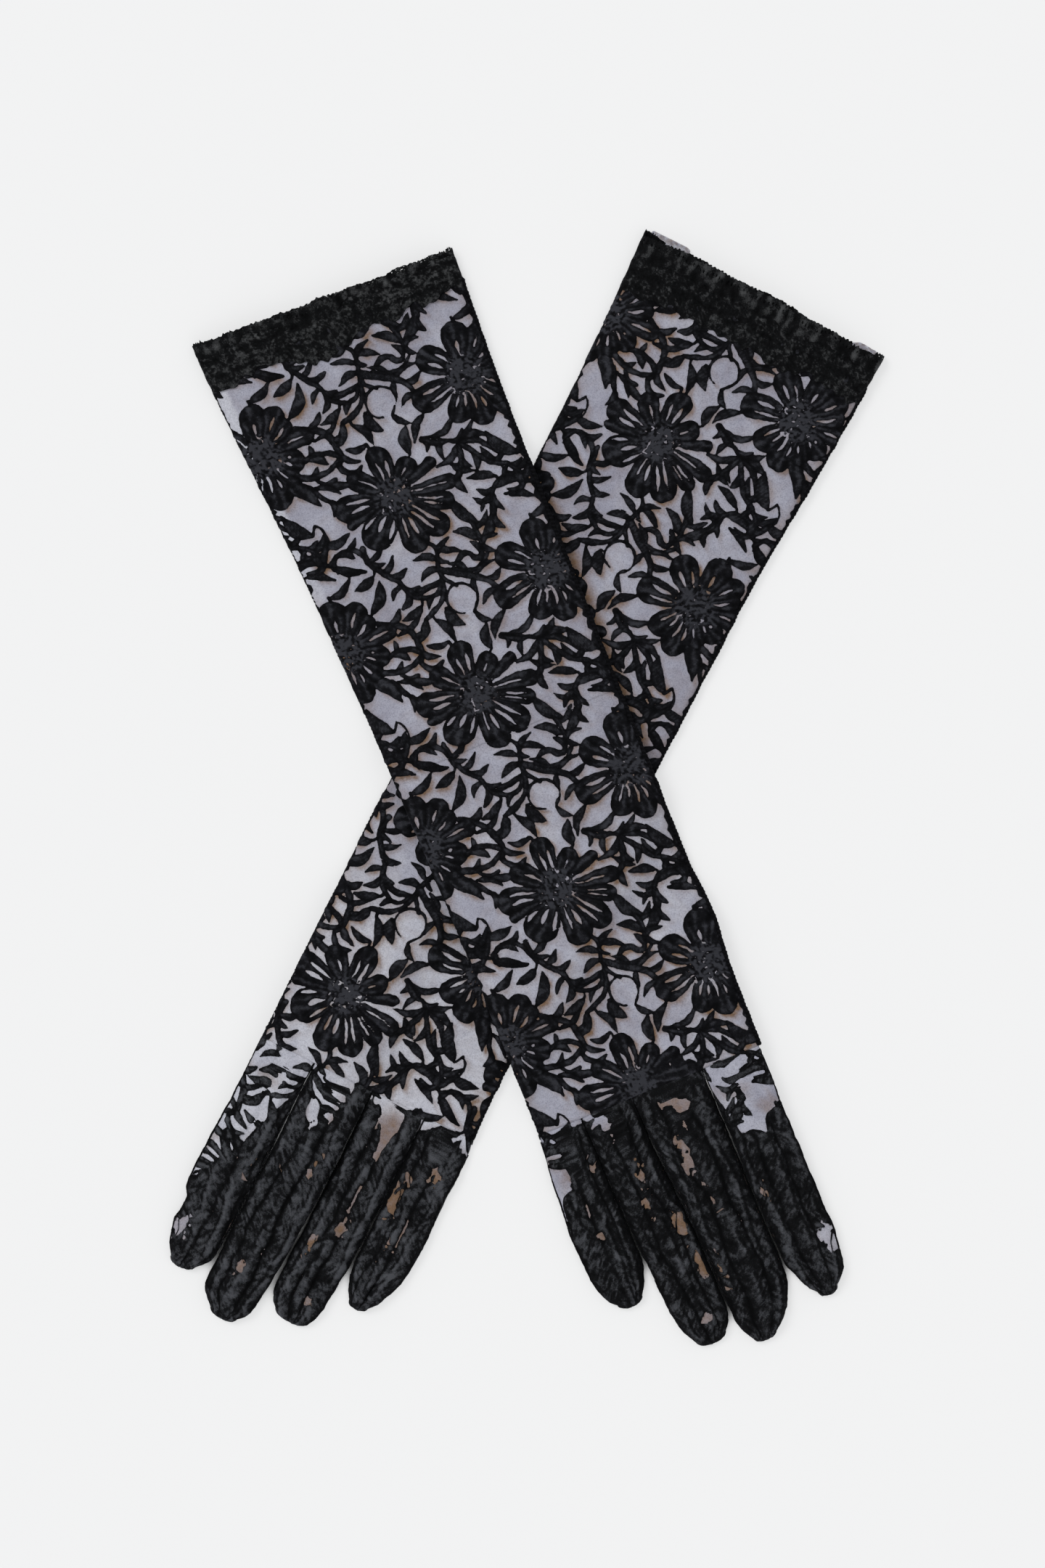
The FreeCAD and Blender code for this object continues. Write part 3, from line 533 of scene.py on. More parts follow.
def cut_sheet(P, F, hi, lo, out, fields, edge_keep=0.5, limit=None):
    """the part of a grid where F is below 0, as a closed sheet from lo to hi along the normal.
    Returns vertices (metres), triangles, flat coordinates for the bake, fields at the vertices."""
    ni, nj = F.shape
    L = np.full(F.shape, -9.0) if limit is None else limit
    F = np.maximum(F, L)
    F[0, :], F[-1, :], F[:, 0], F[:, -1] = (np.maximum(F[0, :], .02), np.maximum(F[-1, :], .02), np.maximum(F[:, 0], .02), np.maximum(F[:, -1], .02))
    N, flip = grid_normals(P, out)
    idx = np.arange(ni * nj).reshape(ni, nj)
    a, b, c, d = idx[:-1, :-1].ravel(), idx[1:, :-1].ravel(), idx[1:, 1:].ravel(), idx[:-1, 1:].ravel()
    T = np.concatenate([np.stack([a, b, c], 1), np.stack([a, c, d], 1)])
    if flip:
        T = T[:, ::-1]
    f = F.ravel()
    inside = f < 0
    I = inside[T]
    cnt = I.sum(1)
    full = T[cnt == 3]
    one, two = T[cnt == 1], T[cnt == 2]
    k1 = np.argmax(inside[one], 1) if len(one) else np.zeros(0, int)
    one = np.stack([one[np.arange(len(one)), (k1 + m) % 3] for m in range(3)], 1) if len(one) else one
    k2 = np.argmin(inside[two], 1) if len(two) else np.zeros(0, int)
    two = np.stack([two[np.arange(len(two)), (k2 + m) % 3] for m in range(3)], 1) if len(two) else two
    M = ni * nj
    pairs = np.concatenate([one[:, [0, 1]], one[:, [0, 2]], two[:, [0, 1]], two[:, [0, 2]]])
    lo_i, hi_i = pairs.min(1).astype(np.int64), pairs.max(1).astype(np.int64)
    key, inv = np.unique(lo_i * M + hi_i, return_inverse=True)
    inv = inv.reshape(-1)
    e0, e1 = (key // M).astype(int), (key % M).astype(int)
    tt = np.clip(f[e0] / (f[e0] - f[e1]), 0.04, 0.96)
    used = np.where(inside)[0]
    new = np.full(M, -1)
    new[used] = np.arange(len(used))
    base = len(used)
    n1, n2 = len(one), len(two)
    e_ab1, e_ac1 = inv[:n1] + base, inv[n1:2 * n1] + base
    e_ab2, e_ac2 = inv[2 * n1:2 * n1 + n2] + base, inv[2 * n1 + n2:] + base
    tris = np.concatenate([new[full], np.stack([new[one[:, 0]], e_ab1, e_ac1], 1),
                           np.stack([e_ab2, new[two[:, 1]], new[two[:, 2]]], 1), np.stack([e_ab2, new[two[:, 2]], e_ac2], 1)])
    seg = np.concatenate([np.stack([e_ab1, e_ac1], 1), np.stack([e_ac2, e_ab2], 1)])

    def at(v):
        v = v.reshape(M, -1)
        return np.concatenate([v[used], v[e0] * (1 - tt[:, None]) + v[e1] * tt[:, None]])

    p, n = at(P), at(N)
    n /= np.maximum(np.linalg.norm(n, axis=1, keepdims=True), 1e-12)
    h, l = at(np.broadcast_to(hi, F.shape).astype(float)), at(np.broadcast_to(lo, F.shape).astype(float))
    # rounded at the edges of the motifs, full thickness where one length meets the next
    keep_h = np.where(at(L)[base:] > -0.02, 1.0, edge_keep)
    h[base:] = l[base:] + (h[base:] - l[base:]) * keep_h
    nv = len(p)
    verts = np.concatenate([p + n * h / 1000, p + n * l / 1000])
    tris = np.concatenate([tris, tris[:, ::-1] + nv,
                           np.stack([seg[:, 1], seg[:, 0], seg[:, 0] + nv], 1), np.stack([seg[:, 1], seg[:, 0] + nv, seg[:, 1] + nv], 1)])
    gi, gj = np.meshgrid(np.linspace(0.01, 0.99, ni), np.linspace(0.01, 0.49, nj), indexing="ij")
    uv = at(np.stack([gj, gi], -1))
    uv = np.concatenate([uv, uv + [0.5, 0]])
    out_fields = {}
    for k, v in fields.items():
        w = at(np.broadcast_to(v, F.shape).astype(float)).ravel()
        out_fields[k] = np.concatenate([w, w])
    # drop points that no face uses
    keep = np.zeros(2 * nv, bool)
    keep[tris.ravel()] = True
    remap = np.cumsum(keep) - 1
    return verts[keep], remap[tris], uv[keep], {k: v[keep] for k, v in out_fields.items()}


def join_parts(parts):
    V, T, U, A, off = [], [], [], {}, 0
    for v, t, uv, at in parts:
        V.append(v), T.append(t + off), U.append(uv)
        for k in at:
            A.setdefault(k, []).append(at[k])
        off += len(v)
    return np.concatenate(V), np.concatenate(T), np.concatenate(U), {k: np.concatenate(v) for k, v in A.items()}


def shell(P, Q, closed, caps=True):
    """closed thick shell between an outer grid P and an inner grid Q, columns running round if closed"""
    ni, nj = P.shape[:2]
    idx = np.arange(ni * nj).reshape(ni, nj)
    jj = np.arange(nj if closed else nj - 1)
    a, b = idx[:-1][:, jj], idx[1:][:, jj]
    c, d = idx[1:][:, (jj + 1) % nj], idx[:-1][:, (jj + 1) % nj]
    quads = np.stack([a, b, c, d], -1).reshape(-1, 4)
    M = ni * nj
    walls = [np.stack([idx[0, jj], idx[0, (jj + 1) % nj], idx[0, (jj + 1) % nj] + M, idx[0, jj] + M], -1),
             np.stack([idx[-1, (jj + 1) % nj], idx[-1, jj], idx[-1, jj] + M, idx[-1, (jj + 1) % nj] + M], -1)]
    if not closed:
        ii = np.arange(ni - 1)
        walls += [np.stack([idx[ii + 1, 0], idx[ii, 0], idx[ii, 0] + M, idx[ii + 1, 0] + M], -1),
                  np.stack([idx[ii, -1], idx[ii + 1, -1], idx[ii + 1, -1] + M, idx[ii, -1] + M], -1)]
    Q4 = np.concatenate([quads, quads[:, ::-1] + M] + walls)
    return np.concatenate([P.reshape(-1, 3), Q.reshape(-1, 3)]), Q4


# ------------------------------------------------------------------ materials
def nodes_of(name):
    m = bpy.data.materials.new(name)
    m.use_nodes = True
    nt = m.node_tree
    bsdf = next(n for n in nt.nodes if n.type == "BSDF_PRINCIPLED")
    return m, nt, bsdf


def add(nt, kind, **kw):
    n = nt.nodes.new(kind)
    for k, v in kw.items():
        if k in n.inputs.keys():
            n.inputs[k].default_value = v
        else:
            setattr(n, k, v)
    return n


def ramp(nt, fac, stops):
    r = nt.nodes.new("ShaderNodeValToRGB")
    el = r.color_ramp.elements
    while len(el) < len(stops):
        el.new(0.5)
    for e, (p, c) in zip(el, stops):
        e.position, e.color = p, (*c, 1)
    nt.links.new(fac, r.inputs["Fac"])
    return r.outputs["Color"]


def math_node(nt, op, a, b=None, c=None):
    n = nt.nodes.new("ShaderNodeMath")
    n.operation = op
    for i, v in enumerate((a, b, c)):
        if v is None:
            continue
        if isinstance(v, (int, float)):
            n.inputs[i].default_value = v
        else:
            nt.links.new(v, n.inputs[i])
    return n.outputs[0]


def coords(nt):
    return nt.nodes.new("ShaderNodeTexCoord").outputs["Object"]


def noise_tex(nt, vec, scale, detail=2.0, rough=0.5, stretch=None):
    if stretch is not None:
        mp = nt.nodes.new("ShaderNodeMapping")
        mp.inputs["Rotation"].default_value = (0, 0, stretch[0])
        mp.inputs["Scale"].default_value = stretch[1]
        nt.links.new(vec, mp.inputs["Vector"])
        vec = mp.outputs["Vector"]
    n = add(nt, "ShaderNodeTexNoise", Scale=scale, Detail=detail, Roughness=rough)
    nt.links.new(vec, n.inputs["Vector"])
    return n.outputs["Fac"]


def bump(nt, bsdf, height_socket, strength, distance):
    b = nt.nodes.new("ShaderNodeBump")
    b.inputs["Strength"].default_value = strength
    b.inputs["Distance"].default_value = distance
    nt.links.new(height_socket, b.inputs["Height"])
    nt.links.new(b.outputs["Normal"], bsdf.inputs["Normal"])


def black_lace(name, dark, light, spec, sheen, thread=3400.0, tone=0.5):
    """black corded thread: the field 'tone' runs from grooves (0) to raised cord (1), so the ramp paints shade into the
    grooves and light onto the raised cord, over the thread's own mottle
    """
    m, nt, b = nodes_of(name)
    v = coords(nt)
    at = add(nt, "ShaderNodeAttribute", attribute_name="tone").outputs["Fac"]
    soft = noise_tex(nt, v, 260.0, 3.0, 0.6)
    fine = noise_tex(nt, v, thread, 2.0, 0.7)
    f = math_node(nt, "MULTIPLY_ADD", soft, 0.55, -0.28)
    f = math_node(nt, "ADD", at, f)
    g = math_node(nt, "MULTIPLY_ADD", fine, 0.9, -0.45)
    f = math_node(nt, "ADD", f, g)
    nt.links.new(ramp(nt, f, ((0.0, tuple(x * 0.35 for x in dark)), (tone, dark), (1.0, light))), b.inputs["Base Color"])
    b.inputs["Roughness"].default_value = 0.82
    b.inputs["Specular IOR Level"].default_value = spec
    b.inputs["Sheen Weight"].default_value = sheen
    b.inputs["Sheen Roughness"].default_value = 0.45
    b.inputs["Sheen Tint"].default_value = (0.62, 0.66, 0.75, 1)
    bump(nt, b, fine, 0.55, 0.00022)
    return m


def net_lining(name):
    """pale grey-lilac net: fine mesh, with a soft brown shade painted beside the motifs"""
    m, nt, b = nodes_of(name)
    v = coords(nt)
    warm = add(nt, "ShaderNodeAttribute", attribute_name="warm").outputs["Fac"]
    pale = add(nt, "ShaderNodeAttribute", attribute_name="pale").outputs["Fac"]
    cloud = noise_tex(nt, v, 95.0, 4.0, 0.6)
    fine = noise_tex(nt, v, 2300.0, 1.5, 0.6)
    f = math_node(nt, "ADD", pale, math_node(nt, "MULTIPLY_ADD", cloud, 1.1, -0.55))
    base = ramp(nt, f, ((0.0, (0.292, 0.290, 0.354)), (0.5, (0.382, 0.385, 0.455)), (1.0, (0.524, 0.530, 0.588))))
    # brown painted shade, mixed in where the shade attribute is high and broken up by noise
    mix = nt.nodes.new("ShaderNodeMix")
    mix.data_type = "RGBA"
    mix.inputs["B"].default_value = (0.190, 0.118, 0.074, 1)
    w = math_node(nt, "MULTIPLY", warm, math_node(nt, "MULTIPLY_ADD", noise_tex(nt, v, 420.0, 2.0, 0.6), 0.9, 0.55))
    nt.links.new(w, mix.inputs["Factor"])
    nt.links.new(base, mix.inputs["A"])
    dim = nt.nodes.new("ShaderNodeMix")
    dim.data_type = "RGBA"
    dim.blend_type = "MULTIPLY"
    dim.inputs["Factor"].default_value = 1.0
    nt.links.new(mix.outputs["Result"], dim.inputs["A"])
    weave = math_node(nt, "MULTIPLY_ADD", noise_tex(nt, v, 820.0, 3.0, 0.65), 0.55, -0.275)
    nt.links.new(ramp(nt, math_node(nt, "ADD", fine, weave), ((0.28, (0.70, 0.70, 0.71)), (0.50, (0.94, 0.94, 0.94)), (0.72, (1.06, 1.06, 1.06)))), dim.inputs["B"])
    nt.links.new(dim.outputs["Result"], b.inputs["Base Color"])
    b.inputs["Roughness"].default_value = 0.85
    b.inputs["Specular IOR Level"].default_value = 0.12
    b.inputs["Sheen Weight"].default_value = 0.05
    bump(nt, b, fine, 0.5, 0.00012)
    return m


LACE = black_lace("black_lace", (0.0062, 0.0063, 0.0078), (0.034, 0.035, 0.042), 0.05, 0.02)
STALL = black_lace("stall_lace", (0.0060, 0.0062, 0.0070), (0.070, 0.073, 0.082), 0.05, 0.02, thread=2600.0, tone=0.42)
HEM = black_lace("hem_lace", (0.0052, 0.0055, 0.0060), (0.062, 0.064, 0.066), 0.05, 0.02, thread=2000.0, tone=0.45)
SEAM = black_lace("seam_thread", (0.0045, 0.0045, 0.0055), (0.018, 0.018, 0.022), 0.05, 0.015, thread=3000.0)
NET = net_lining("net_lining")
ELASTIC = black_lace("elastic_tape", (0.010, 0.010, 0.011), (0.045, 0.045, 0.048), 0.15, 0.04, thread=2200.0)


# ------------------------------------------------------------------ sleeve and hand lace
# where the open lace gives way to the closed lace of the fingers: u, s
RIGHT.close = [(-46, 338), (-43.5, 336), (-40.5, 331), (-38.6, 316), (-33, 309), (-29, 305), (-24, 308), (-19.5, 311), (-16, 304), (-8, 299), (0, 296),
               (8, 296), (14, 297), (17.5, 301), (20, 316), (23.0, 331), (30, 334.5), (35, 330), (41, 333)]
LEFT.close = [(-40, 319), (-35, 317.5), (-30, 319), (-26, 314), (-21, 318), (-17.5, 311), (-14, 316), (-11, 311), (-7, 318), (-2, 316), (3, 312), (5, 308),
              (8, 324), (12, 335), (16, 334), (20, 323), (22.6, 317), (25, 324), (27, 333), (30, 340), (33.5, 350), (38, 358), (43.8, 370)]


def closing(g, u, s):
    """how far the threads close up: 0 in the open lace, then growing"""
    x, y = np.array(g.close, float).T
    line = np.interp(u, x, y)
    v = s - line + 1.6 * N1(u / 2.1, 2.0) + 1.1 * N2(u / 0.9, s / 4.0) + 0.8 * N3(u / 1.3, s / 2.0)
    return 7.5 * smooth(-1.5, 6.0, v)


def fabric(g, side, t, s):
    """where a point of the glove lies on the lace cloth it was cut from"""
    if side > 0:
        if g is RIGHT:
            return t, s
        k = 0.0578
        return (t + 12 + (s - 62) * k) - 4.5, (s - 62) - (t + 12) * k + 150
    return (27.0 - t, s + 31.0) if g is RIGHT else (t + 9.0, s + 12.0)


def lace_fields(g, side, t, s, grow=0.0):
    ft, fs = fabric(g, side, t, s)
    wob = 0.14 * N2(ft / 2.3, fs / 2.3) + 0.13 * N3(ft / 0.95, fs / 0.95)
    wt, ws = ft + 0.45 * N1(fs / 7.0, ft / 9.0) + 0.16 * N4(fs / 1.9, ft / 2.1), fs + 0.40 * N4(fs / 9.0, ft / 6.0) + 0.16 * N1(ft / 1.8, fs / 2.2)
    F = repeat(MOTIF, wt, ws) + wob - grow
    crease = repeat(CREASE, wt, ws)
    vein, eye = repeat(VEIN, wt, ws), repeat(EYE, wt, ws)
    groove = np.exp(-(crease / 0.45) ** 2) * (F < 0.3)
    inner = smooth(0.0, 0.9, -F)
    relief = 0.26 + 0.24 * inner - 0.20 * groove + 0.045 * vein + 0.10 * eye * N2(ft / 0.7, fs / 0.7)
    # tone: painted shade in the grooves where strokes cross and painted light on the raised middle of each stroke, over
    # the veins, the speckled flower hearts and a random mottle
    tone = 0.36 + 0.20 * inner - 0.42 * groove + 0.24 * vein * inner + 0.30 * fractal(N4, ft / 4.0, fs / 2.2) + 0.22 * N2(ft / 0.7, fs / 0.6) + eye * (0.42 + 0.85 * N3(ft / 0.75, fs / 0.75))
    return F, relief, tone


def hem_line(g, t):
    """where the gathered band gives way to the lace, along the glove"""
    v = 13.6 + 2.4 * N1(t / 7.0, 3.3) + 1.6 * N2(t / 2.6, 8.1)
    return v + (3.2 if g is LEFT else 0.0) + (6.5 * np.exp(-((t + 6) / 12.0) ** 2) if g is RIGHT else 2.0 * np.exp(-((t - 20) / 16.0) ** 2))


def lace_panel(g, side, s0, s1, step):
    s = s0 + np.arange(-1, int(round((s1 - s0) / step)) + 2) * ((s1 - s0) / int(round((s1 - s0) / step)))
    cols, X, u, z, over = wrap(g, s, side, step)
    t = cols[None, :] * g.hand + 0 * s[:, None]
    S = s[:, None] + 0 * t
    F, relief, tone = lace_fields(g, side, t, S)
    F = np.minimum(F, S - hem_line(g, t))
    F = np.minimum(F, 3)
    if side > 0:
        shut = closing(g, u, S)
        F = F - shut
        relief, tone = relief - 0.10 * smooth(1, 4, shut), tone + 0.10 * smooth(1, 4, shut)
    # a worked selvedge where the panel meets the side seam
    wide = 1.1 + (0.9 * (g is RIGHT) * (t > 0)) - 0.35 * (g is RIGHT) * (t < 0) * (S < 105)
    F = np.minimum(F, 0.6 * (-over - wide) + (0.55 + 0.5 * (wide < 1)) * N2(S / 1.6, 3.0 + side))
    F = np.maximum(F, over + 0.05)
    if side < 0:
        relief = np.clip(relief * 0.8, 0.10, 0.38)
    P = world(g, S, u, z)
    out = np.zeros_like(P)
    out[..., 2] = side
    return cut_sheet(P, F, relief, np.full(F.shape, 0.03), out, {"tone": tone}, limit=np.maximum(s0 - S, S - s1))


print("lace")
FINE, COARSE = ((0.46, 0.95))
parts = {}
LENGTHS = ((9.0, 90.0, "cuff"), (90.0, 168.0, "forearm"), (168.0, 238.0, "wrist"), (238.0, None, "hand"))
for g in (RIGHT, LEFT):
    for side, sn in ((1, "back"), (-1, "palm")):
        for s0, s1, ln in LENGTHS:
            v, t, uv, at = lace_panel(g, side, s0, s1 or g.base, FINE if side > 0 else COARSE)
            parts[g.name, sn, ln] = mesh_object("%s_%s_%s_lace" % (g.name, ln, sn), v, t, uv, at, LACE)


# ------------------------------------------------------------------ lining
def arc_columns(g, s, side, n, inset):
    """one side of the tube with n + 1 columns at equal steps round it, and the distance of each from the glove's axis"""
    th = np.linspace(0.0, math.pi, 161)[None, :]
    p = PT if side > 0 else PB
    xh = -np.sign(np.cos(th)) * np.abs(np.cos(th)) ** (2 / p)
    u, z = tube(g, s[:, None], xh, side, inset)
    arc = np.concatenate([np.zeros((len(s), 1)), np.cumsum(np.hypot(np.diff(u, axis=1), np.diff(z, axis=1)), 1)], 1)
    X, T = np.empty((len(s), n + 1)), np.empty((len(s), n + 1))
    for i in range(len(s)):
        q = np.linspace(0, arc[i, -1], n + 1)
        X[i] = np.interp(q, arc[i], xh[0])
        T[i] = q - np.interp(0.0, u[i], arc[i])
    u, z = tube(g, s[:, None], X, side, inset)
    return u, z, T


def right_edge_shade(s, u):
    """the strip of the lower glove that lies in the shade of the upper glove's thumb side"""
    t = -u
    x = LEFT.o[0] + s * LEFT.d[0] + t * LEFT.n[0] - RIGHT.o[0]
    y = LEFT.o[1] + s * LEFT.d[1] + t * LEFT.n[1] - RIGHT.o[1]
    rs, ru = x * RIGHT.d[0] + y * RIGHT.d[1], x * RIGHT.n[0] + y * RIGHT.n[1]
    out = ru - edge(RIGHT.thumb, rs)
    return (1 - smooth(1.5, 7.5, out)) * (out > -3) * smooth(60, 84, rs) * (1 - smooth(186, 196, rs))


def lining(g, s0, s1, name):
    """the net lining: one closed thin tube just inside the lace"""
    rows = np.linspace(s0, s1, int((s1 - s0) / 0.9) + 1)
    nt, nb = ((106, 56))
    loops = []
    for inset in (0.05, 0.33):
        ut, zt, tt = arc_columns(g, rows, 1, nt, inset)
        ub, zb, tb = arc_columns(g, rows, -1, nb, inset)
        U = np.concatenate([ut[:, ::-1], ub[:, 1:-1]], 1)
        Z = np.concatenate([zt[:, ::-1], zb[:, 1:-1]], 1)
        T = np.concatenate([tt[:, ::-1], tb[:, 1:-1]], 1)
        loops.append((U, Z))
    S = rows[:, None] + 0 * U
    top = np.broadcast_to(np.arange(U.shape[1])[None, :] <= nt, U.shape)
    P, Q = world(g, S, *loops[0]), world(g, S, *loops[1])
    v, q = shell(P, Q, True)
    if g.hand > 0:
        q = q[:, ::-1]
    U, t = loops[0][0], T * g.hand
    # painted shadow: a soft brown shade on the side of each motif away from the light, a fainter one further off, and
    # the palm's lace faintly through
    ds, dt = (1.15, 0.5) if g is RIGHT else (0.45, 1.15)
    near = smooth(0.9, -0.5, lace_fields(g, 1, t - dt, S - ds)[0])
    far = smooth(1.4, -0.6, lace_fields(g, 1, t - 2.1 * dt, S - 2.1 * ds)[0])
    patch = smooth(-0.25, 0.55, fractal(N3, t / 9.0, S / 11.0))
    through = smooth(0.5, -0.9, lace_fields(g, -1, -t, S)[0])
    warm = (0.62 * near + 0.30 * far * patch) * (0.30 + 0.70 * patch) + 0.10 * through
    # painted shade along both edges of the glove
    rim = np.minimum(edge(g.thumb, S) - U, U + edge(g.little, S))
    warm = warm + 0.30 * (1 - smooth(0, 5, rim))
    # painted shadow of the upper glove's thumb side on the lower glove
    if g is LEFT:
        warm = np.maximum(warm, 0.95 * right_edge_shade(S, U))
    # the palm side gets a faint even painted shade, with the palm's lace through it
    warm = np.where(top, np.clip(warm, 0, 1), 0.15 + 0.3 * through)
    pale = (0.30 + 0.70 * smooth(200, 290, S)) if g is LEFT else 0.35 + 0.15 * smooth(150, 250, S)
    pale = np.clip(pale + 0.35 * fractal(N1, S / 16.0, t / 11.0), 0, 1) + 0 * S
    if g is RIGHT:
        strip = (1 - smooth(3.0, 5.5, U + edge(g.little, S))) * (1 - smooth(85, 115, S)) * top
        warm, pale = warm * (1 - strip), lerp(pale, 1.0, strip)
    at = {"warm": np.concatenate([warm.ravel(), warm.ravel()]), "pale": np.concatenate([pale.ravel(), pale.ravel()])}
    gi, gj = np.meshgrid(np.linspace(0.01, 0.99, len(rows)), np.linspace(0.01, 0.49, U.shape[1]), indexing="ij")
    uv = np.stack([gj, gi], -1).reshape(-1, 2)
    uv = np.concatenate([uv, uv + [0.5, 0]])
    return mesh_object(name, v, None, uv, at, NET, quads=q)


print("lining")
for g in (RIGHT, LEFT):
    parts[g.name, "net", "a"] = lining(g, 6.0, 168.0, g.name + "_net_lining_sleeve")
    parts[g.name, "net", "b"] = lining(g, 168.0, g.base - 0.1, g.name + "_net_lining_hand")


# ------------------------------------------------------------------ finger stalls
class Stall:
    """the closed surface of a stall, from the hand's edge to the fingertip"""

    def __init__(self, g, name):
        self.g, self.name = g, name
        up, dn, tip = g.fingers[name]
        self.s0, self.s1, self.utip = g.base, tip[0], tip[1]
        self.up = np.array(up + [tip], float).T
        self.dn = np.array(dn + [tip], float).T
        self.seed = {"index": 1.0, "middle": 2.0, "ring": 3.0, "little": 4.0}[name] * 5.7 + (0 if g is RIGHT else 31.0)

    def edges(self, s):
        """middle and half width, closed by a short round end"""
        sc = self.up[0][-2] if len(self.up[0]) else 0
        sc = min(self.up[0][-2], self.dn[0][-2])
        x = np.clip((s - sc) / (self.s1 - sc), 0, 1)
        f = np.sqrt(1 - x * x)
        q = np.minimum(s, sc)
        a, b = np.interp(q, *self.up), np.interp(q, *self.dn)
        a, b = a + 0.22 * N1(q / 4.5, self.seed) * smooth(2, 14, q - self.s0), b + 0.22 * N2(q / 4.5, self.seed) * smooth(2, 14, q - self.s0)
        c, w = (a + b) / 2, (a - b) / 2
        return c + (self.utip - c) * (1 - f) * 0.8, np.maximum(w * f, 0.02)

    def stations(self, step, back=0.6):
        sc = min(self.up[0][-2], self.dn[0][-2])
        ang = np.linspace(0, math.pi / 2, 9)[1:]
        return np.concatenate([np.arange(self.s0 - back, sc, step), [sc], sc + (self.s1 - sc) * np.sin(ang) * 0.9995])

    RIDGES = {
        ("right", "index"): ((-0.74, 0.15, 0.95), (-0.34, 0.10, -0.90), (0.10, 0.22, 0.40), (0.46, 0.08, -0.45), (0.72, 0.13, 0.40)),
        ("right", "middle"): ((-0.66, 0.13, 0.85), (-0.34, 0.09, -0.95), (0.05, 0.12, 0.70), (0.30, 0.08, -0.95), (0.66, 0.17, 0.75)),
        ("right", "ring"): ((-0.66, 0.15, 0.80), (-0.26, 0.09, -0.85), (0.10, 0.12, 0.65), (0.38, 0.08, -0.90), (0.70, 0.14, 0.70)),
        ("right", "little"): ((-0.52, 0.20, 0.50), (-0.02, 0.10, -0.80), (0.30, 0.12, 0.55), (0.58, 0.08, -0.60), (0.82, 0.10, 0.45)),
        ("left", "index"): ((-0.46, 0.15, 0.90), (-0.08, 0.09, -1.00), (0.26, 0.14, 0.60), (0.70, 0.16, 0.45), (-0.80, 0.08, -0.70)),
        ("left", "middle"): ((-0.66, 0.16, 0.80), (-0.26, 0.09, -0.95), (0.08, 0.12, 0.65), (0.40, 0.08, -0.60), (0.70, 0.16, 0.75)),
        ("left", "ring"): ((-0.62, 0.15, 0.80), (-0.24, 0.09, -1.00), (0.12, 0.12, 0.55), (0.40, 0.09, -0.95), (0.72, 0.15, 0.80)),
        ("left", "little"): ((-0.58, 0.17, 0.70), (-0.16, 0.09, -0.95), (0.20, 0.15, 0.65), (0.54, 0.08, -0.60), (0.80, 0.10, 0.45)),
    }

    def folds(self, s, xh, u):
        """height of the lengthwise folds and the creases across them"""
        k = self.seed
        x = s - self.s0
        v = 0.0
        for i, (pos, wd, amp) in enumerate(self.RIDGES[self.g.name, self.name]):
            wander = 0.17 * N1(s / 21.0 + k, i * 3.7) + 0.07 * N2(s / 6.0 + k, i * 5.1)
            swell = 0.75 + 0.60 * N3(s / 11.0 + k, i * 2.3)
            v = v + amp * swell * np.exp(-((xh - pos - wander) / wd) ** 2)
        v = v - 0.95 * np.exp(-((np.abs(xh) - 0.95) / 0.10) ** 2)
        cross = 0.42 * fractal(N2, s / 5.0 + k, u / 7.0) + 0.30 * fractal(N3, (s + 0.5 * u) / 2.1, u / 3.0 + k)
        knuckle = -0.40 * np.exp(-((x - 0.44 * (self.s1 - self.s0) - 1.5 * N1(u / 4.0, k)) / 1.2) ** 2) - 0.30 * np.exp(-((x - 0.70 * (self.s1 - self.s0) - 1.5 * N2(u / 4.0, k)) / 1.0) ** 2)
        fade = smooth(-1.5, 9, x) * (1 - 0.65 * smooth(self.s1 - 9, self.s1, s))
        return (v + knuckle) * fade + cross * fade

    def lines(self, s, xh, u):
        """painted highlight along the crest of each fold and painted shade in the crease beside it"""
        k, v = self.seed, 0.0
        for i, (pos, wd, amp) in enumerate(self.RIDGES[self.g.name, self.name]):
            wander = 0.17 * N1(s / 21.0 + k, i * 3.7) + 0.07 * N2(s / 6.0 + k, i * 5.1)
            d = xh - pos - wander
            on = smooth(-0.5, 0.2, N4(s / 9.0 + k, i * 2.9))
            if amp > 0:
                v = v + on * (0.20 * np.exp(-((d + 0.02) / 0.05) ** 2) - 0.60 * np.exp(-((d - 0.09) / 0.045) ** 2))
            else:
                v = v - (0.35 + 0.65 * on) * 0.75 * np.exp(-(d / 0.045) ** 2)
        return v

    def surface(self, s, th, inset=0.0):
        """th runs round the stall: 0 at the thumb side, pi/2 on the back, pi, 3pi/2 on the palm"""
        g = self.g
        s, th = np.broadcast_arrays(np.asarray(s, float), np.asarray(th, float))
        x = s - self.s0
        c, w = self.edges(s)
        w = np.maximum(w - inset, 0.01)
        p = lerp(7.0, 2.7, smooth(0, 26, x))
        cx = np.sign(np.cos(th)) * np.abs(np.cos(th)) ** (2 / p)
        sz = np.sign(np.sin(th)) * np.abs(np.sin(th)) ** (2 / p)
        u = c + w * cx
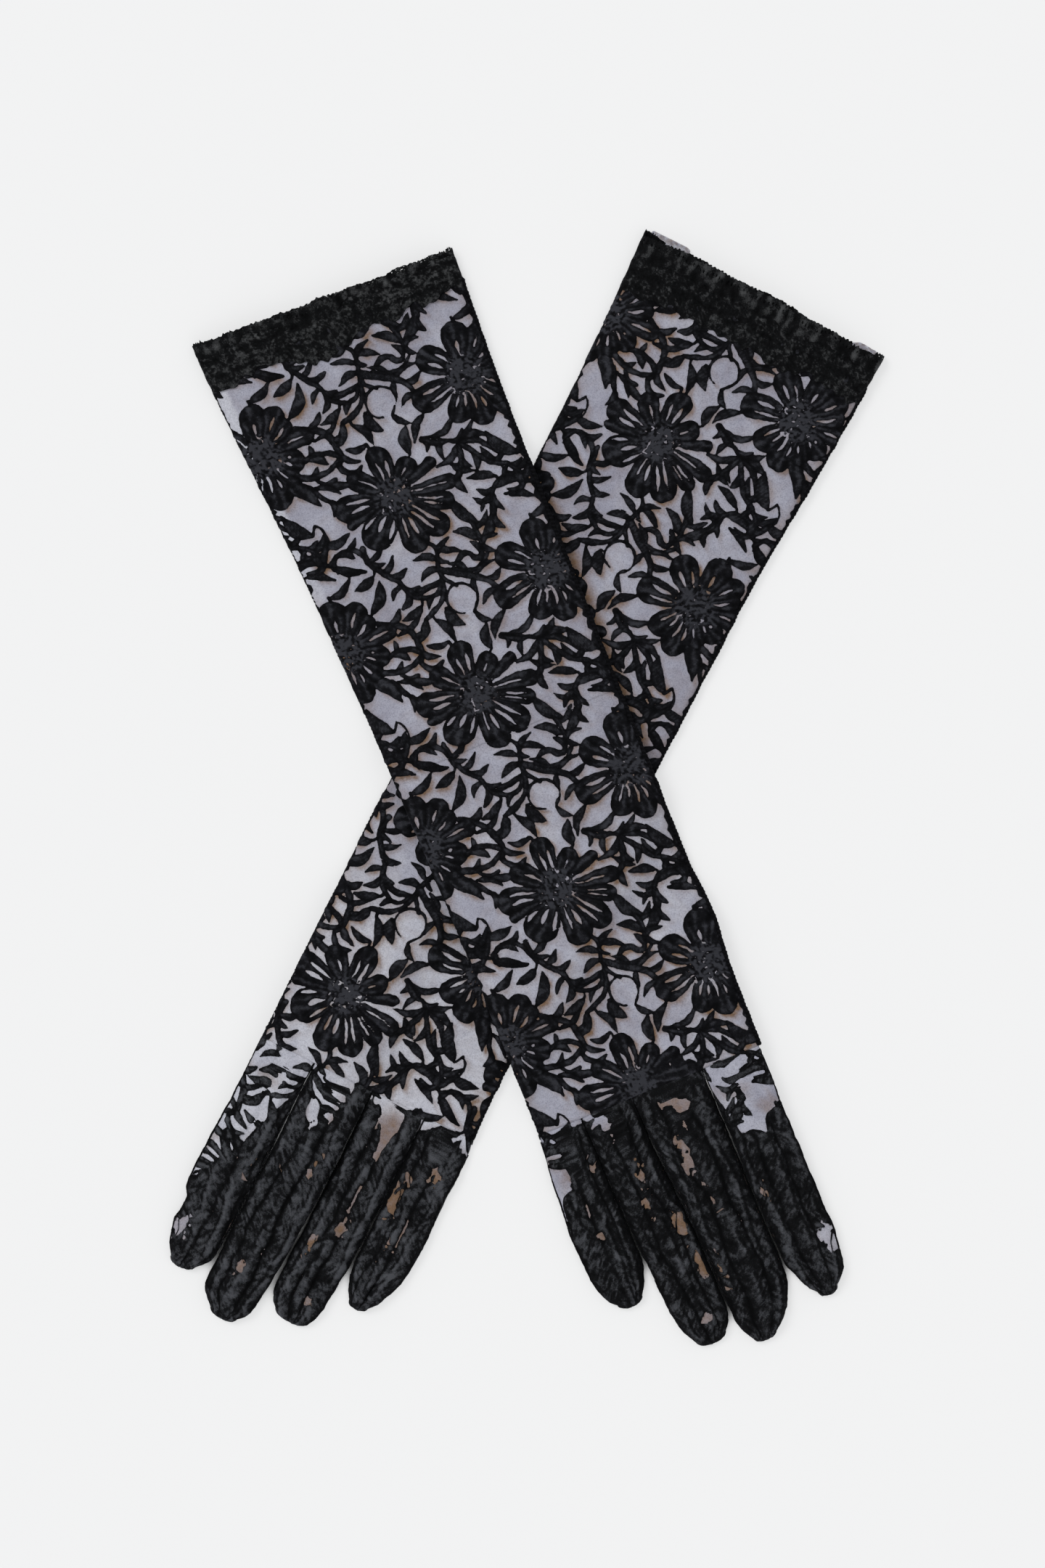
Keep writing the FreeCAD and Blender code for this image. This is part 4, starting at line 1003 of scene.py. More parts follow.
        # the hand's own section, carried on, and the stall's rounder one
        ut, ul = edge(g.thumb, s), edge(g.little, s)
        hc, hw = (ut - ul) / 2, (ut + ul) / 2
        X = np.clip(np.abs((u - hc) / hw), 0, 1)
        h, z0 = height(g, s), floor_z(g, np.minimum(s, self.s0), u)
        top = z0 + MID * h + (1 - MID) * h * np.clip(1 - X ** PT, 0, 1) ** (1 / PT) + ripple(g, s, u) * smooth(0, .25, 1 - X)
        bot = z0 + MID * h - MID * h * np.clip(1 - X ** PB, 0, 1) ** (1 / PB)
        fl = g.floor[self.name]
        L = self.s1 - self.s0
        zb = fl + (0.12 - fl) * np.clip(x / L, 0, 1)
        tipx = np.clip((s - (self.s1 - 9.0)) / 9.0, 0, 1)
        H = 4.75 * np.sqrt(np.clip(1 - 0.93 * tipx ** 2.2, 0, 1))
        lam = smooth(0, 17, x)
        zc = lerp((top + bot) / 2, zb + H * 0.46, lam)
        hh = lerp((top - bot) / 2, H / 2, lam) - inset
        xh = np.clip((u - c) / np.maximum(w, 1), -1, 1)
        f = self.folds(s, xh, u)
        z = zc + np.maximum(hh, 0.01) * sz + np.where(sz > 0, f - 0.12, 0.25 * f) * np.abs(sz) ** 0.6
        z = np.maximum(z, 0.50 + inset)
        return u, z, xh

    # worn or open places: s, u, half length, half width, how much brown painted shade the net gets there
    SPOTS = {
        ("right", "index"): [(377, 37.3, 5.0, 2.6, 0.15), (352, 23.0, 3.0, 0.7, 0.9)],
        ("right", "middle"): [(330, 1.2, 5.0, 1.5, 0.75), (347, 4.4, 4.0, 0.8, 0.8), (362, 7.0, 3.0, 0.6, 0.9), (372, -2.0, 3.5, 0.8, 0.9)],
        ("right", "ring"): [(351, -9.4, 6.0, 2.7, 1.0), (331, -15.5, 6.0, 1.4, 0.9), (385.5, -13, 1.7, 2.0, 0.6), (365, -8.2, 4.0, 1.5, 1.0), (342, -18.0, 3.0, 1.0, 0.9)],
        ("right", "little"): [(321, -30.2, 3.2, 1.5, 0.8), (345, -37, 3.0, 0.6, 0.9)],
        ("left", "index"): [(385.5, 39.8, 4.6, 2.3, 0.25), (356, 27.4, 3.0, 0.8, 0.9)],
        ("left", "middle"): [(345, 7.0, 3.0, 0.9, 0.9), (390, 15.5, 2.0, 1.2, 0.7), (352, 17.0, 2.5, 0.7, 0.9)],
        ("left", "ring"): [(390, -12, 2.2, 2.0, 0.8), (359, -11.2, 3.5, 0.9, 0.9), (374, -4.0, 3.0, 0.7, 0.9)],
        ("left", "little"): [(341.5, -24.2, 7.0, 1.6, 1.0), (331, -33.8, 3.0, 1.2, 0.9), (362, -28.0, 3.0, 0.8, 0.9)],
    }

    def cover(self, s, u, xh, ground, back=True):
        """how much the lace closes up: it opens towards the hand and at a few worn places"""
        g, n, k = self.g, self.name, self.seed
        grow = closing(g, u, s) if back else 7.5 * smooth(2, 11, s - self.s0 + 3.0 * N1(u / 3.2 + k, 2.0) + 2.0 * N2(u / 1.25, 5.0 + k))
        hole = np.full(np.shape(s), 9.0)
        for ss, uu, a, b, spot_shade in self.SPOTS[g.name, n]:
            e = (np.hypot((s - ss) / a, (u - uu) / b) - 1) * b + 0.55 * N2(s / 2.4 + k, u / 1.5) + 0.45 * N3(s / 1.0, u / 0.8 + k)
            hole = np.minimum(hole, np.minimum(e + 0.55, np.maximum(e - 0.9, 0.25 - ground)))
        # stray threads across the open places
        strand = np.abs(np.mod(s * 0.5 + u * 0.9 + 2.4 * N4(s / 5.0 + k, u / 5.0), 4.3) - 2.1) - 0.16
        return grow, np.maximum(hole, -strand)

    def stall_net_shade(self, s, u):
        # painted brown shade on the stall's net: an even amount, set per open place, with noise
        v = 0.72 + 0 * s
        for ss, uu, a, b, spot_shade in self.SPOTS[self.g.name, self.name]:
            k = 1 - smooth(1.0, 2.2, np.hypot((s - ss) / a, (u - uu) / b))
            v = v * (1 - k) + spot_shade * k
        v = np.clip(v + 0.25 * fractal(N2, s / 5.0 + self.seed, u / 3.0), 0, 1)
        x, y = np.array(self.g.close, float).T
        line = np.interp(u, x, y)
        # patchy painted shade where the stall meets the hand, below the line where the lace closes up
        patchy_shade = 0.5 * smooth(0.15, 0.6, fractal(N3, u / 7.0 + 3, s / 9.0)) * smooth(self.s0 + 2, self.s0 + 12, s)
        return lerp(patchy_shade, v, smooth(line - 4, line + 8, s))


def dense_tone(st, S, u, folds, lines, F, vein, k):
    """closed-up stretch lace: the same flowers, drawn together, over crossing threads"""
    # short slanting threads in two families, over a fine grain
    one = N3((0.84 * S + 0.54 * u) / 2.7 + k, (0.84 * u - 0.54 * S) / 0.62)
    two = N2((0.78 * S - 0.62 * u) / 2.4 + k, (0.78 * u + 0.62 * S) / 0.60)
    crepe = 1.15 * lerp(one, two, smooth(-0.35, 0.35, N4(S / 6.0 + k, u / 4.5))) + 0.55 * N1((S + 0.4 * u) / 0.55 + k, (u - 0.4 * S) / 0.5)
    motif = smooth(0.7, -0.7, F)
    edge_line = np.exp(-(F / 0.34) ** 2)
    mottle = 0.65 * fractal(N1, S / 9.0 + k, u / 3.0) + 0.30 * fractal(N4, (S + 0.5 * u) / 2.4 + k, (u - 0.5 * S) / 1.3)
    base, ridge = (0.54, 0.34) if st.g is LEFT else (0.42, 0.20)
    # painted light on the raised folds and painted shade in the hollows, the painted crest and crease lines, and
    # painted shade along the sunk motif outlines, over the threads' own crepe and mottle
    tone = (base + 0.08 * motif - 0.17 * edge_line + 0.05 * vein * motif + 0.24 * crepe + 0.20 * mottle
            + ridge * np.clip(folds, 0, 1.0) + (0.26 + 0.5 * ridge) * np.clip(folds, -1.2, 0) + 0.62 * lines)
    relief = 0.32 + 0.12 * motif - 0.12 * edge_line + 0.10 * crepe + 0.03 * vein
    return tone, relief


def stall_sheet(st, th0, th1, step_s, nth, strip):
    g = st.g
    s = st.stations(step_s)
    th = np.linspace(th0, th1, nth)
    S, TH = s[:, None] + 0 * th[None, :], th[None, :] + 0 * s[:, None]
    u, z, xh = st.surface(S, TH)
    P = world(g, S, u, z)
    side = 1 if (th0 + th1) / 2 < math.pi else -1
    t = u * g.hand
    F, relief, tone = lace_fields(g, side, t, S)
    ft, fs = fabric(g, side, t * 1.15, S * 1.06)
    dense_F = repeat(MOTIF, ft + 0.5 * N1(fs / 3.0, ft / 3.0), fs + 0.5 * N2(fs / 3.0, ft / 3.0))
    grow, hole = st.cover(S, u, xh, dense_F, side > 0 and not strip)
    if side < 0 or strip:
        hole = 9.0 + 0 * S
    F = np.maximum(np.minimum(F - grow, 3.0), -hole)
    dense = smooth(0.6, 4.5, grow)
    folds = st.folds(S, xh, u) * (side > 0)
    tone2, relief2 = dense_tone(st, S, u, folds, st.lines(S, xh, u) * (side > 0), dense_F, repeat(VEIN, ft, fs), st.seed)
    relief = lerp(relief, relief2, dense)
    # painted light on the raised folds and painted shade in the hollows
    tone = lerp(tone + 0.12 * np.clip(folds, -1, 1), tone2, dense)
    # the fourchette strips sit lower and are painted darker, as shade between the fingers
    if strip:
        relief = relief * 0.6 - 0.12
        tone = tone - 0.16
    # hem the sheet's own two long edges and its ends
    wdt = np.minimum(TH - th0, th1 - TH) / (th1 - th0) * nth
    F = np.maximum(F, 1.0 - wdt)
    F = np.maximum(F, st.s0 - 0.25 - S)
    cx, cz = st.edges(S)[0], z.mean(axis=1, keepdims=True) + 0 * z
    out = P - world(g, S, cx, cz)
    if side < 0:
        relief = np.clip(relief, -0.1, 0.44)
    return cut_sheet(P, F, relief, np.full(F.shape, -0.20), out, {"tone": tone})


def core(st, name, s_back=3.0):
    """the net inside a stall, a closed thin bag"""
    g = st.g
    s = st.stations(1.5, s_back)[:-1]
    th = np.linspace(0, 2 * math.pi, 60, endpoint=False)
    S, TH = s[:, None] + 0 * th[None, :], th[None, :] + 0 * s[:, None]
    u, z, xh = st.surface(np.maximum(S, st.s0), TH, 0.10)
    u2, z2, _ = st.surface(np.maximum(S, st.s0), TH, 0.42)
    v, q = shell(world(g, S, u, z), world(g, S, u2, z2), True)
    if g.hand > 0:
        q = q[:, ::-1]
    # painted brown shade on the net inside the stall
    warm = st.stall_net_shade(S, u)
    xx, yy = np.array(g.close, float).T
    pale = (1.0 if g is LEFT else 0.5) * (1 - smooth(-2, 12, S - np.maximum(np.interp(u, xx, yy), g.base)))
    # paler in the open places that have less painted shade
    for ss, uu, a, b, spot_shade in st.SPOTS[g.name, st.name]:
        pale = np.maximum(pale, (1 - smooth(1.2, 2.4, np.hypot((S - ss) / a, (u - uu) / b))) * (1 - spot_shade) * 0.9)
    pale = np.clip(pale + 0.35 * fractal(N1, S / 16.0, u * g.hand / 11.0), 0, 1)
    at = {"warm": np.concatenate([warm.ravel(), warm.ravel()]), "pale": np.concatenate([pale.ravel(), pale.ravel()])}
    gi, gj = np.meshgrid(np.linspace(0.01, 0.99, len(s)), np.linspace(0.01, 0.49, len(th)), indexing="ij")
    uv = np.stack([gj, gi], -1).reshape(-1, 2)
    uv = np.concatenate([uv, uv + [0.5, 0]])
    return mesh_object(name, v, None, uv, at, NET, quads=q)


print("stalls")
STEP_S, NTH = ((0.5, 58))
FINGERS = ("index", "middle", "ring", "little")
A0 = 0.42
cuts = []
for g in (RIGHT, LEFT):
    for f in FINGERS:
        st = Stall(g, f)
        body = "%s_%s" % (g.name, f)
        back = mesh_object(body + "_stall_back", *stall_sheet(st, A0 - .04, math.pi - A0 + .04, STEP_S, NTH, False), STALL)
        palm = mesh_object(body + "_stall_palm", *stall_sheet(st, math.pi + A0 - .04, 2 * math.pi - A0 + .04, STEP_S * 1.4, int(NTH * .7), False), STALL)
        strips = [stall_sheet(st, -A0 - .02, A0 + .02, STEP_S * 1.2, 13, True), stall_sheet(st, math.pi - A0 - .02, math.pi + A0 + .02, STEP_S * 1.2, 13, True)]
        four = mesh_object(body + "_stall_fourchette", *join_parts(strips), STALL)
        net = core(st, body + "_stall_net")
        a = world(g, np.array(g.base + 0.2), np.array(st.edges(g.base + 0.2)[0]), np.array(0.0))
        e = world(g, np.array(g.base + 9.0), np.array(st.edges(g.base + 9.0)[0]), np.array(0.0))
        for o, node in ((back, "back"), (palm, "palm"), (four, "fourchette"), (net, None)):
            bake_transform(o)
            if node:
                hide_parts("%s_%s" % (body, node))
        cuts.append((st, back, palm, four, net))


# ------------------------------------------------------------------ the width of each piece of cloth across its cut
def declare(width):
    """width across the cut at each station, in mm, turned into metres; nothing further is done with it"""
    width = np.atleast_1d(np.asarray(width, float)) / 1000


for (gname, kind, length), o in parts.items():
    g = RIGHT if gname == "right" else LEFT
    if kind == "net":
        s0, s1 = (6.0, 168.0) if length == "a" else (168.0, g.base)
    else:
        s0, s1 = [(a, b or g.base) for a, b, ln in LENGTHS if ln == length][0]
    ss = np.linspace(s0, s1, 60)
    w = edge(g.thumb, ss) + edge(g.little, ss)
    # the net is one tube, cut as one piece; the lace's open ground is about a fifth of its outline
    declare(2 * w if kind == "net" else w)
for st, back, palm, four, net in cuts:
    w = 2 * st.edges(np.linspace(st.s0, st.s1, 60))[1]
    declare(w + 3.0)
    declare(w + 3.0)
    declare(2 * w + 4.0)


for (gname, kind, length), o in parts.items():
    if gname == "left":
        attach(o, "left_glove")
    elif length in ("cuff", "forearm", "a"):
        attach(o, "right_sleeve")
    else:
        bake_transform(o)
    if kind == "net":
        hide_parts(*["%s_%s_%s_lining" % (gname, "sleeve" if length == "a" else "hand", side) for side in ("back", "palm")])
    else:
        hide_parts("%s_%s_%s" % (gname, "hand" if length == "hand" else "sleeve", kind))


# ------------------------------------------------------------------ hem band and elastic
def mouth(g, u, top):
    """where the cuff's edge lies along the glove"""
    if g is RIGHT:
        v = 0.3 + 2.1 * u / 48.0 + 0.8 * np.exp(-((u - 20) / 12.0) ** 2) + 0.5 * np.exp(-((u + 20) / 12.0) ** 2)
    else:
        v = np.interp(u, (-47, -36, -26, -14, -2, 8, 18, 28, 38, 47), (0.7, 0.7, 0.1, -0.9, -1.5, -1.5, -1.9, -2.4, -2.1, -1.6))
    if not top:
        v = v - (0.6 + np.where(u > 0, 1.6 if g is LEFT else 0.5, 0.5) * np.abs(u / 47.0) ** 3)
    return v


def loop_frame(per, p_mid=2.6):
    """columns at equal steps round a flattened loop: angle, side, distance from the thumb-side fold"""
    th = np.linspace(0, 2 * math.pi, 2000, endpoint=False)
    xh = np.sign(np.cos(th)) * np.abs(np.cos(th)) ** (2 / p_mid)
    zs = np.sign(np.sin(th)) * np.abs(np.sin(th)) ** (2 / p_mid) * 4.0
    arc = np.concatenate([[0], np.cumsum(np.hypot(np.diff(xh * 48.0), np.diff(zs)))])
    total = arc[-1] + math.hypot((xh[0] - xh[-1]) * 48.0, zs[0] - zs[-1])
    run = np.linspace(0, total, per, endpoint=False)
    ths = np.interp(run, np.append(arc, total), np.append(th, 2 * math.pi))
    return ths, np.minimum(run, total - run)


def hem_surface(g, R, T, q, off, top_s, low_s):
    """the gathered band: R runs from the mouth (0) down to the lace (1)"""
    p_mid = 2.6
    k = 0.0 if g is RIGHT else 50.0
    xh = np.sign(np.cos(T)) * np.abs(np.cos(T)) ** (2 / p_mid)
    top = np.sin(T) > 0
    kk = k + np.where(top, 0.0, 17.0) * smooth(0, 6, q) * smooth(98, 92, q)
    uu = xh * 47
    s_m = np.where(top, mouth(g, uu, True), mouth(g, uu, False))
    ragged = (0.30 if g is RIGHT else 0.14) * N4(q / 1.5 + kk, 2.0) + (0.5 if g is RIGHT else 0.25) * N2(q / 4.0 + kk, 5.0) + 0.35 * N1(q / 11.0 + kk, 1.0)
    tt = xh * 47 * g.hand
    low = low_s + 1.6 * N1(q / 7.0 + kk, 3.0) + 1.1 * N3(q / 2.4 + kk, 7.0) + np.where(top, 3.0 if g is LEFT else 5.5 * np.exp(-((tt + 6) / 12.0) ** 2), 0.0)
    S = (s_m + top_s + ragged) * (1 - R) + low * R
    ut, ul = edge(g.thumb, S), edge(g.little, S)
    c, w = (ut - ul) / 2, (ut + ul) / 2 + 0.25
    h = height(g, S)
    u = c + (w + off * 0.6) * xh + 0.18 * N1(S / 1.8 + kk, 6.0) * np.abs(xh) ** 6 * np.sign(xh)
    z0 = floor_z(g, S, u)
    sz = np.abs(np.sin(T)) ** (2 / p_mid)
    curls = 0.50 * N3(q / 1.9 + kk, S / 2.1) + 0.34 * N1(q / 0.95 + kk, S / 1.05) + 0.40 * N2(q / 4.4 + kk, S / 6.0)
    tuck = 0.30 * np.cos(2 * math.pi * (q / 5.2 + 0.5 * N4(q / 9.0, kk)))
    gather = curls + tuck * smooth(0.0, 0.4, R)
    line = -0.55 * np.exp(-((S - 6.2 - 0.6 * N1(q / 7.0, kk)) / 0.8) ** 2) - 0.45 * np.exp(-((S - 11.8 - 0.6 * N2(q / 7.0, kk)) / 0.8) ** 2)
    rim = (1 - 0.55 * (1 - smooth(0, .10, R))) * (1 - 0.60 * smooth(0.88, 1.0, R))
    body = (0.62 + gather * 0.62 + line * 0.6) * rim * np.where(top, 1.0, 0.35)
    zt = z0 + MID * h + ((1 - MID) * h * (1 - 0.12 * (1 - smooth(0, .35, R))) + off + body) * sz
    zb = z0 + MID * h - np.minimum((MID * h + off + 0.12) * sz, z0 + MID * h - (0.04 if off > 0 else 0.55))
    return S, u, np.where(top, zt, zb), gather, line, kk


def hem(g):
    per, rows = 560, 44
    p_mid = 2.6
    ths, q = loop_frame(per)
    R = np.linspace(0, 1, rows)[:, None]
    T, Q = ths[None, :] + 0 * R, q[None, :] + 0 * R
    S, u, z, gather, line, kk = hem_surface(g, R, T, Q, 0.25, 1.0, 16.0)
    S2, u2, z2, _, _, _ = hem_surface(g, R, T, Q, -0.75, 1.0, 16.0)
    v, quads = shell(world(g, S, u, z), world(g, S2, u2, z2), True)
    if g.hand > 0:
        quads = quads[:, ::-1]
    motif = smooth(0.5, -0.6, repeat(MOTIF, Q * 1.5 + 9 + kk, S * 1.6 + 30 + kk))
    specks = smooth(0.35, 0.75, N4(Q / 0.9 + kk, S / 0.8)) * (1 - 0.7 * smooth(3, 8, S))
    edge_line = np.exp(-(repeat(MOTIF, Q * 1.5 + 9 + kk, S * 1.6 + 30 + kk) / 0.4) ** 2)
    fleck = 0.8 * N3(Q / 0.62 + kk, S / 0.6) + 0.6 * N1((Q + S) / 0.9, (Q - S) / 0.8 + kk)
    # painted light on the raised gathers and painted shade in the two stitched grooves, over the band's own motif,
    # flecks and specks; a little lighter near the mouth
    tone = ((0.46 if g is RIGHT else 0.37) + 0.20 * gather + 0.10 * motif - 0.16 * edge_line + 0.20 * fractal(N2, Q / 2.6 + kk, S / 2.0) + 0.24 * fleck
            + (0.40 if g is RIGHT else 0.18) * specks + 0.35 * line + (0.12 if g is RIGHT else 0.04) * (1 - smooth(0, 5, S)))
    # the inner face of the band is painted darker, as shade
    tone = np.concatenate([tone.ravel(), (tone * 0.6).ravel()])
    gi, gj = np.meshgrid(np.linspace(0.01, 0.49, rows), np.linspace(0.01, 0.99, per), indexing="ij")
    uv = np.stack([gj, gi], -1).reshape(-1, 2)
    uv = np.concatenate([uv, uv + [0, 0.5]])
    band = mesh_object(g.name + "_gathered_hem", v, None, uv, {"tone": tone}, HEM, quads=quads)

    # the lace edging along the mouth: scalloped and pierced
    ths, q = loop_frame(900)
    ths, q = np.append(ths, 2 * math.pi - 1e-4), np.append(q, 0.0)
    R = np.linspace(0, 1, 13)[:, None]
    T, Q = ths[None, :] + 0 * R, q[None, :] + 0 * R
    S, u, z, gather, line, kk = hem_surface(g, R, T, Q, 0.10, -1.1, 3.6)
    z = np.where(np.sin(T) > 0, z, np.maximum(z, 0.35))
    d = R * 4.7 + 0 * Q
    rough = 1.0 if g is RIGHT else 0.35
    scallop = 0.75 + rough * (0.42 * np.abs(np.sin(math.pi * Q / 2.3 + 0.9 * N1(Q / 5.0, kk))) + 0.22 * N3(Q / 1.6, kk))
    F = scallop - d
    px, py = np.mod(Q + 0.5 * N4(Q / 3.0, d), 1.5) - 0.75, np.mod(d + 0.3 * N2(Q / 2.0, d / 2.0), 1.4) - 0.7
    F = np.maximum(F, 0.36 + 0.16 * N2(Q / 1.7, d / 1.4 + kk) - np.hypot(px, py) - 0.6 * smooth(1.9, 3.2, d))
    # the edging is painted lighter on the raised gathers
    edging = cut_sheet(world(g, S, u, z), F, np.full(F.shape, 0.22), np.full(F.shape, -0.06),
                       world(g, S, u, z) - world(g, S, 0 * u, z * 0 + 4.0), {"tone": 0.42 + 0.5 * gather})
    edging = mesh_object(g.name + "_hem_edging", *edging, HEM)

    # elastic tape on the inside of the band
    rows2, per2 = 13, 300
    th2 = np.linspace(0, 2 * math.pi, per2, endpoint=False)
    R = np.linspace(0, 1, rows2)[:, None]
    T = th2[None, :] + 0 * R
    xh = np.sign(np.cos(T)) * np.abs(np.cos(T)) ** (2 / p_mid)
    sg = np.sign(np.sin(T))
    S = 5.0 + 6.0 * R + 0 * T
    ut, ul = edge(g.thumb, S), edge(g.little, S)
    c, w = (ut - ul) / 2, (ut + ul) / 2
    h = height(g, S)
    sz = np.abs(np.sin(T)) ** (2 / p_mid)
    rib = 0.05 * np.cos(R * math.pi * 10) + 0.03 * np.cos(T * 220)

    def inner(off):
        u = c + (w - 1.0 - off) * xh
        z0 = floor_z(g, S, u)
        zt = z0 + MID * h + ((1 - MID) * h * 0.93 - 0.72 - off + rib * (off < 0.2)) * sz
        zb = z0 + MID * h - (MID * h - 0.85 - off - rib * (off < 0.2)) * sz
        return u, np.where(sg > 0, zt, zb)

    u, z = inner(0.0)
    u2, z2 = inner(0.4)
    v, q = shell(world(g, S, u, z), world(g, S, u2, z2), True)
    if g.hand > 0:
        q = q[:, ::-1]
    tone = 0.35 + 0.5 * np.cos(R * math.pi * 10) ** 2 + 0 * S
    gi, gj = np.meshgrid(np.linspace(0.01, 0.49, rows2), np.linspace(0.01, 0.99, per2), indexing="ij")
    uv = np.stack([gj, gi], -1).reshape(-1, 2)
    uv = np.concatenate([uv, uv + [0, 0.5]])
    tape = mesh_object(g.name + "_cuff_elastic_tape", v, None, uv, {"tone": np.concatenate([tone.ravel(), tone.ravel()])}, ELASTIC, quads=q)
    body = "right_sleeve" if g is RIGHT else "left_glove"
    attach(band, body)
    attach(edging, body)
    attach(tape, body)
    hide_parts(g.name + "_hem_band")
    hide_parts(g.name + "_cuff_elastic")


def facing(u0, u1, reach, name):
    """the pale net facing that shows past the left cuff's corner"""
    a, b = np.meshgrid(np.linspace(0, 1, 40), np.linspace(0, 1, 60), indexing="ij")
    U = lerp(u0, u1, b)
    S = lerp(-4.2, 4.0, a)
    front = mouth(LEFT, U, False) + 0.4 - reach * np.sin(math.pi * np.clip(b, 0, 1)) ** 0.7 + 0.35 * N2(U / 1.6, 3.0)
    z = 1.15 + 0.25 * N1(U / 3.0, S / 3.0)
    F = np.maximum(front - S, 0.18 - 0.9 * np.minimum(b, 1 - b) * 10)
    P = world(LEFT, S, U, z)
    out = np.zeros_like(P)
    out[..., 2] = 1
    # patchy brown painted shade on the facing
    o = mesh_object(name, *cut_sheet(P, F, np.full(F.shape, 0.14), np.full(F.shape, -0.14), out, {"warm": 0.20 + 0.35 * N2(U / 1.0, S / 0.9), "pale": 0.75 + 0.7 * N3(U / 1.1, S / 0.9)}), NET)
    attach(o, "left_glove")


print("hems")
hem(RIGHT)
hem(LEFT)
facing(31.0, 46.8, 2.3, "left_cuff_facing_thumb_corner")
facing(-45.2, -34.5, 1.4, "left_cuff_facing_little_corner")


# ------------------------------------------------------------------ side seams
def seam(g, sgn, name, show, s0, s1):
    """an overlocked seam: a twisted ridge of thread along the glove's side"""
    s = np.arange(s0, s1, 0.5)
    th = np.linspace(0, 2 * math.pi, 10, endpoint=False)
    S, T = s[:, None] + 0 * th[None, :], th[None, :] + 0 * s[:, None]
    e = edge(g.thumb, S) if sgn > 0 else -edge(g.little, S)
    h = height(g, S)
    x = 0.25 if show else -0.35
    zc = floor_z(g, S, e) + MID * h + (0.35 if show else -0.45) + 0.15 * N1(S / 6, 4.0 + sgn)
    uc = e + sgn * (x + 0.18 * N2(S / 4.0, 9.0 + sgn))
    r = (0.85 if show and g is RIGHT else 0.55) + 0.13 * np.cos(2 * math.pi * S / 1.5 + T) + 0.10 * N3(S / 0.8, T)
    r = r * smooth(s0 - 0.1, s0 + 1.5, S) ** 0.5 * smooth(s1 + 0.1, s1 - 1.5, S) ** 0.5 + 0.02
    u, z = uc + r * np.cos(T) * 0.9, zc + r * np.sin(T) * 1.15
    P = world(g, S, u, z)
    n, m = len(s), len(th)
    idx = np.arange(n * m).reshape(n, m)
    q = np.stack([idx[:-1], idx[1:], np.roll(idx, -1, 1)[1:], np.roll(idx, -1, 1)[:-1]], -1).reshape(-1, 4)
    v = np.concatenate([P.reshape(-1, 3), P[0].mean(0)[None], P[-1].mean(0)[None]])
    t0 = np.stack([np.full(m, n * m), idx[0], np.roll(idx[0], -1)], 1)
    t1 = np.stack([np.full(m, n * m + 1), np.roll(idx[-1], -1), idx[-1]], 1)
    tris = np.concatenate([t0, t1])
    if g.hand > 0:
        q, tris = q[:, ::-1], tris[:, ::-1]
    # painted light on the bulges of the twisted thread and painted shade between them
    tone = 0.3 + 0.3 * np.cos(2 * math.pi * S / 1.5 + T)
    tone = np.append(tone.ravel(), [0.3, 0.3])
    gi, gj = np.meshgrid(np.linspace(0.01, 0.99, n), np.linspace(0.01, 0.99, m), indexing="ij")
    uv = np.concatenate([np.stack([gj, gi], -1).reshape(-1, 2), [[0.5, 0.005], [0.5, 0.995]]])
    return mesh_object(name, v, tris, uv, {"tone": tone}, SEAM, quads=q)


print("seams")
for g in (RIGHT, LEFT):
    for sgn, side in ((1, "thumb"), (-1, "little")):
        show = (g is RIGHT) == (sgn > 0)
        o = seam(g, sgn, "%s_%s_side_seam" % (g.name, side), show, 12.0, g.base + 0.5)
        if g is RIGHT:
            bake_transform(o)
        else:
            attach(o, "left_glove")
        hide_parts("%s_sleeve_%s_seam" % (g.name, side), "%s_hand_%s_seam" % (g.name, side))


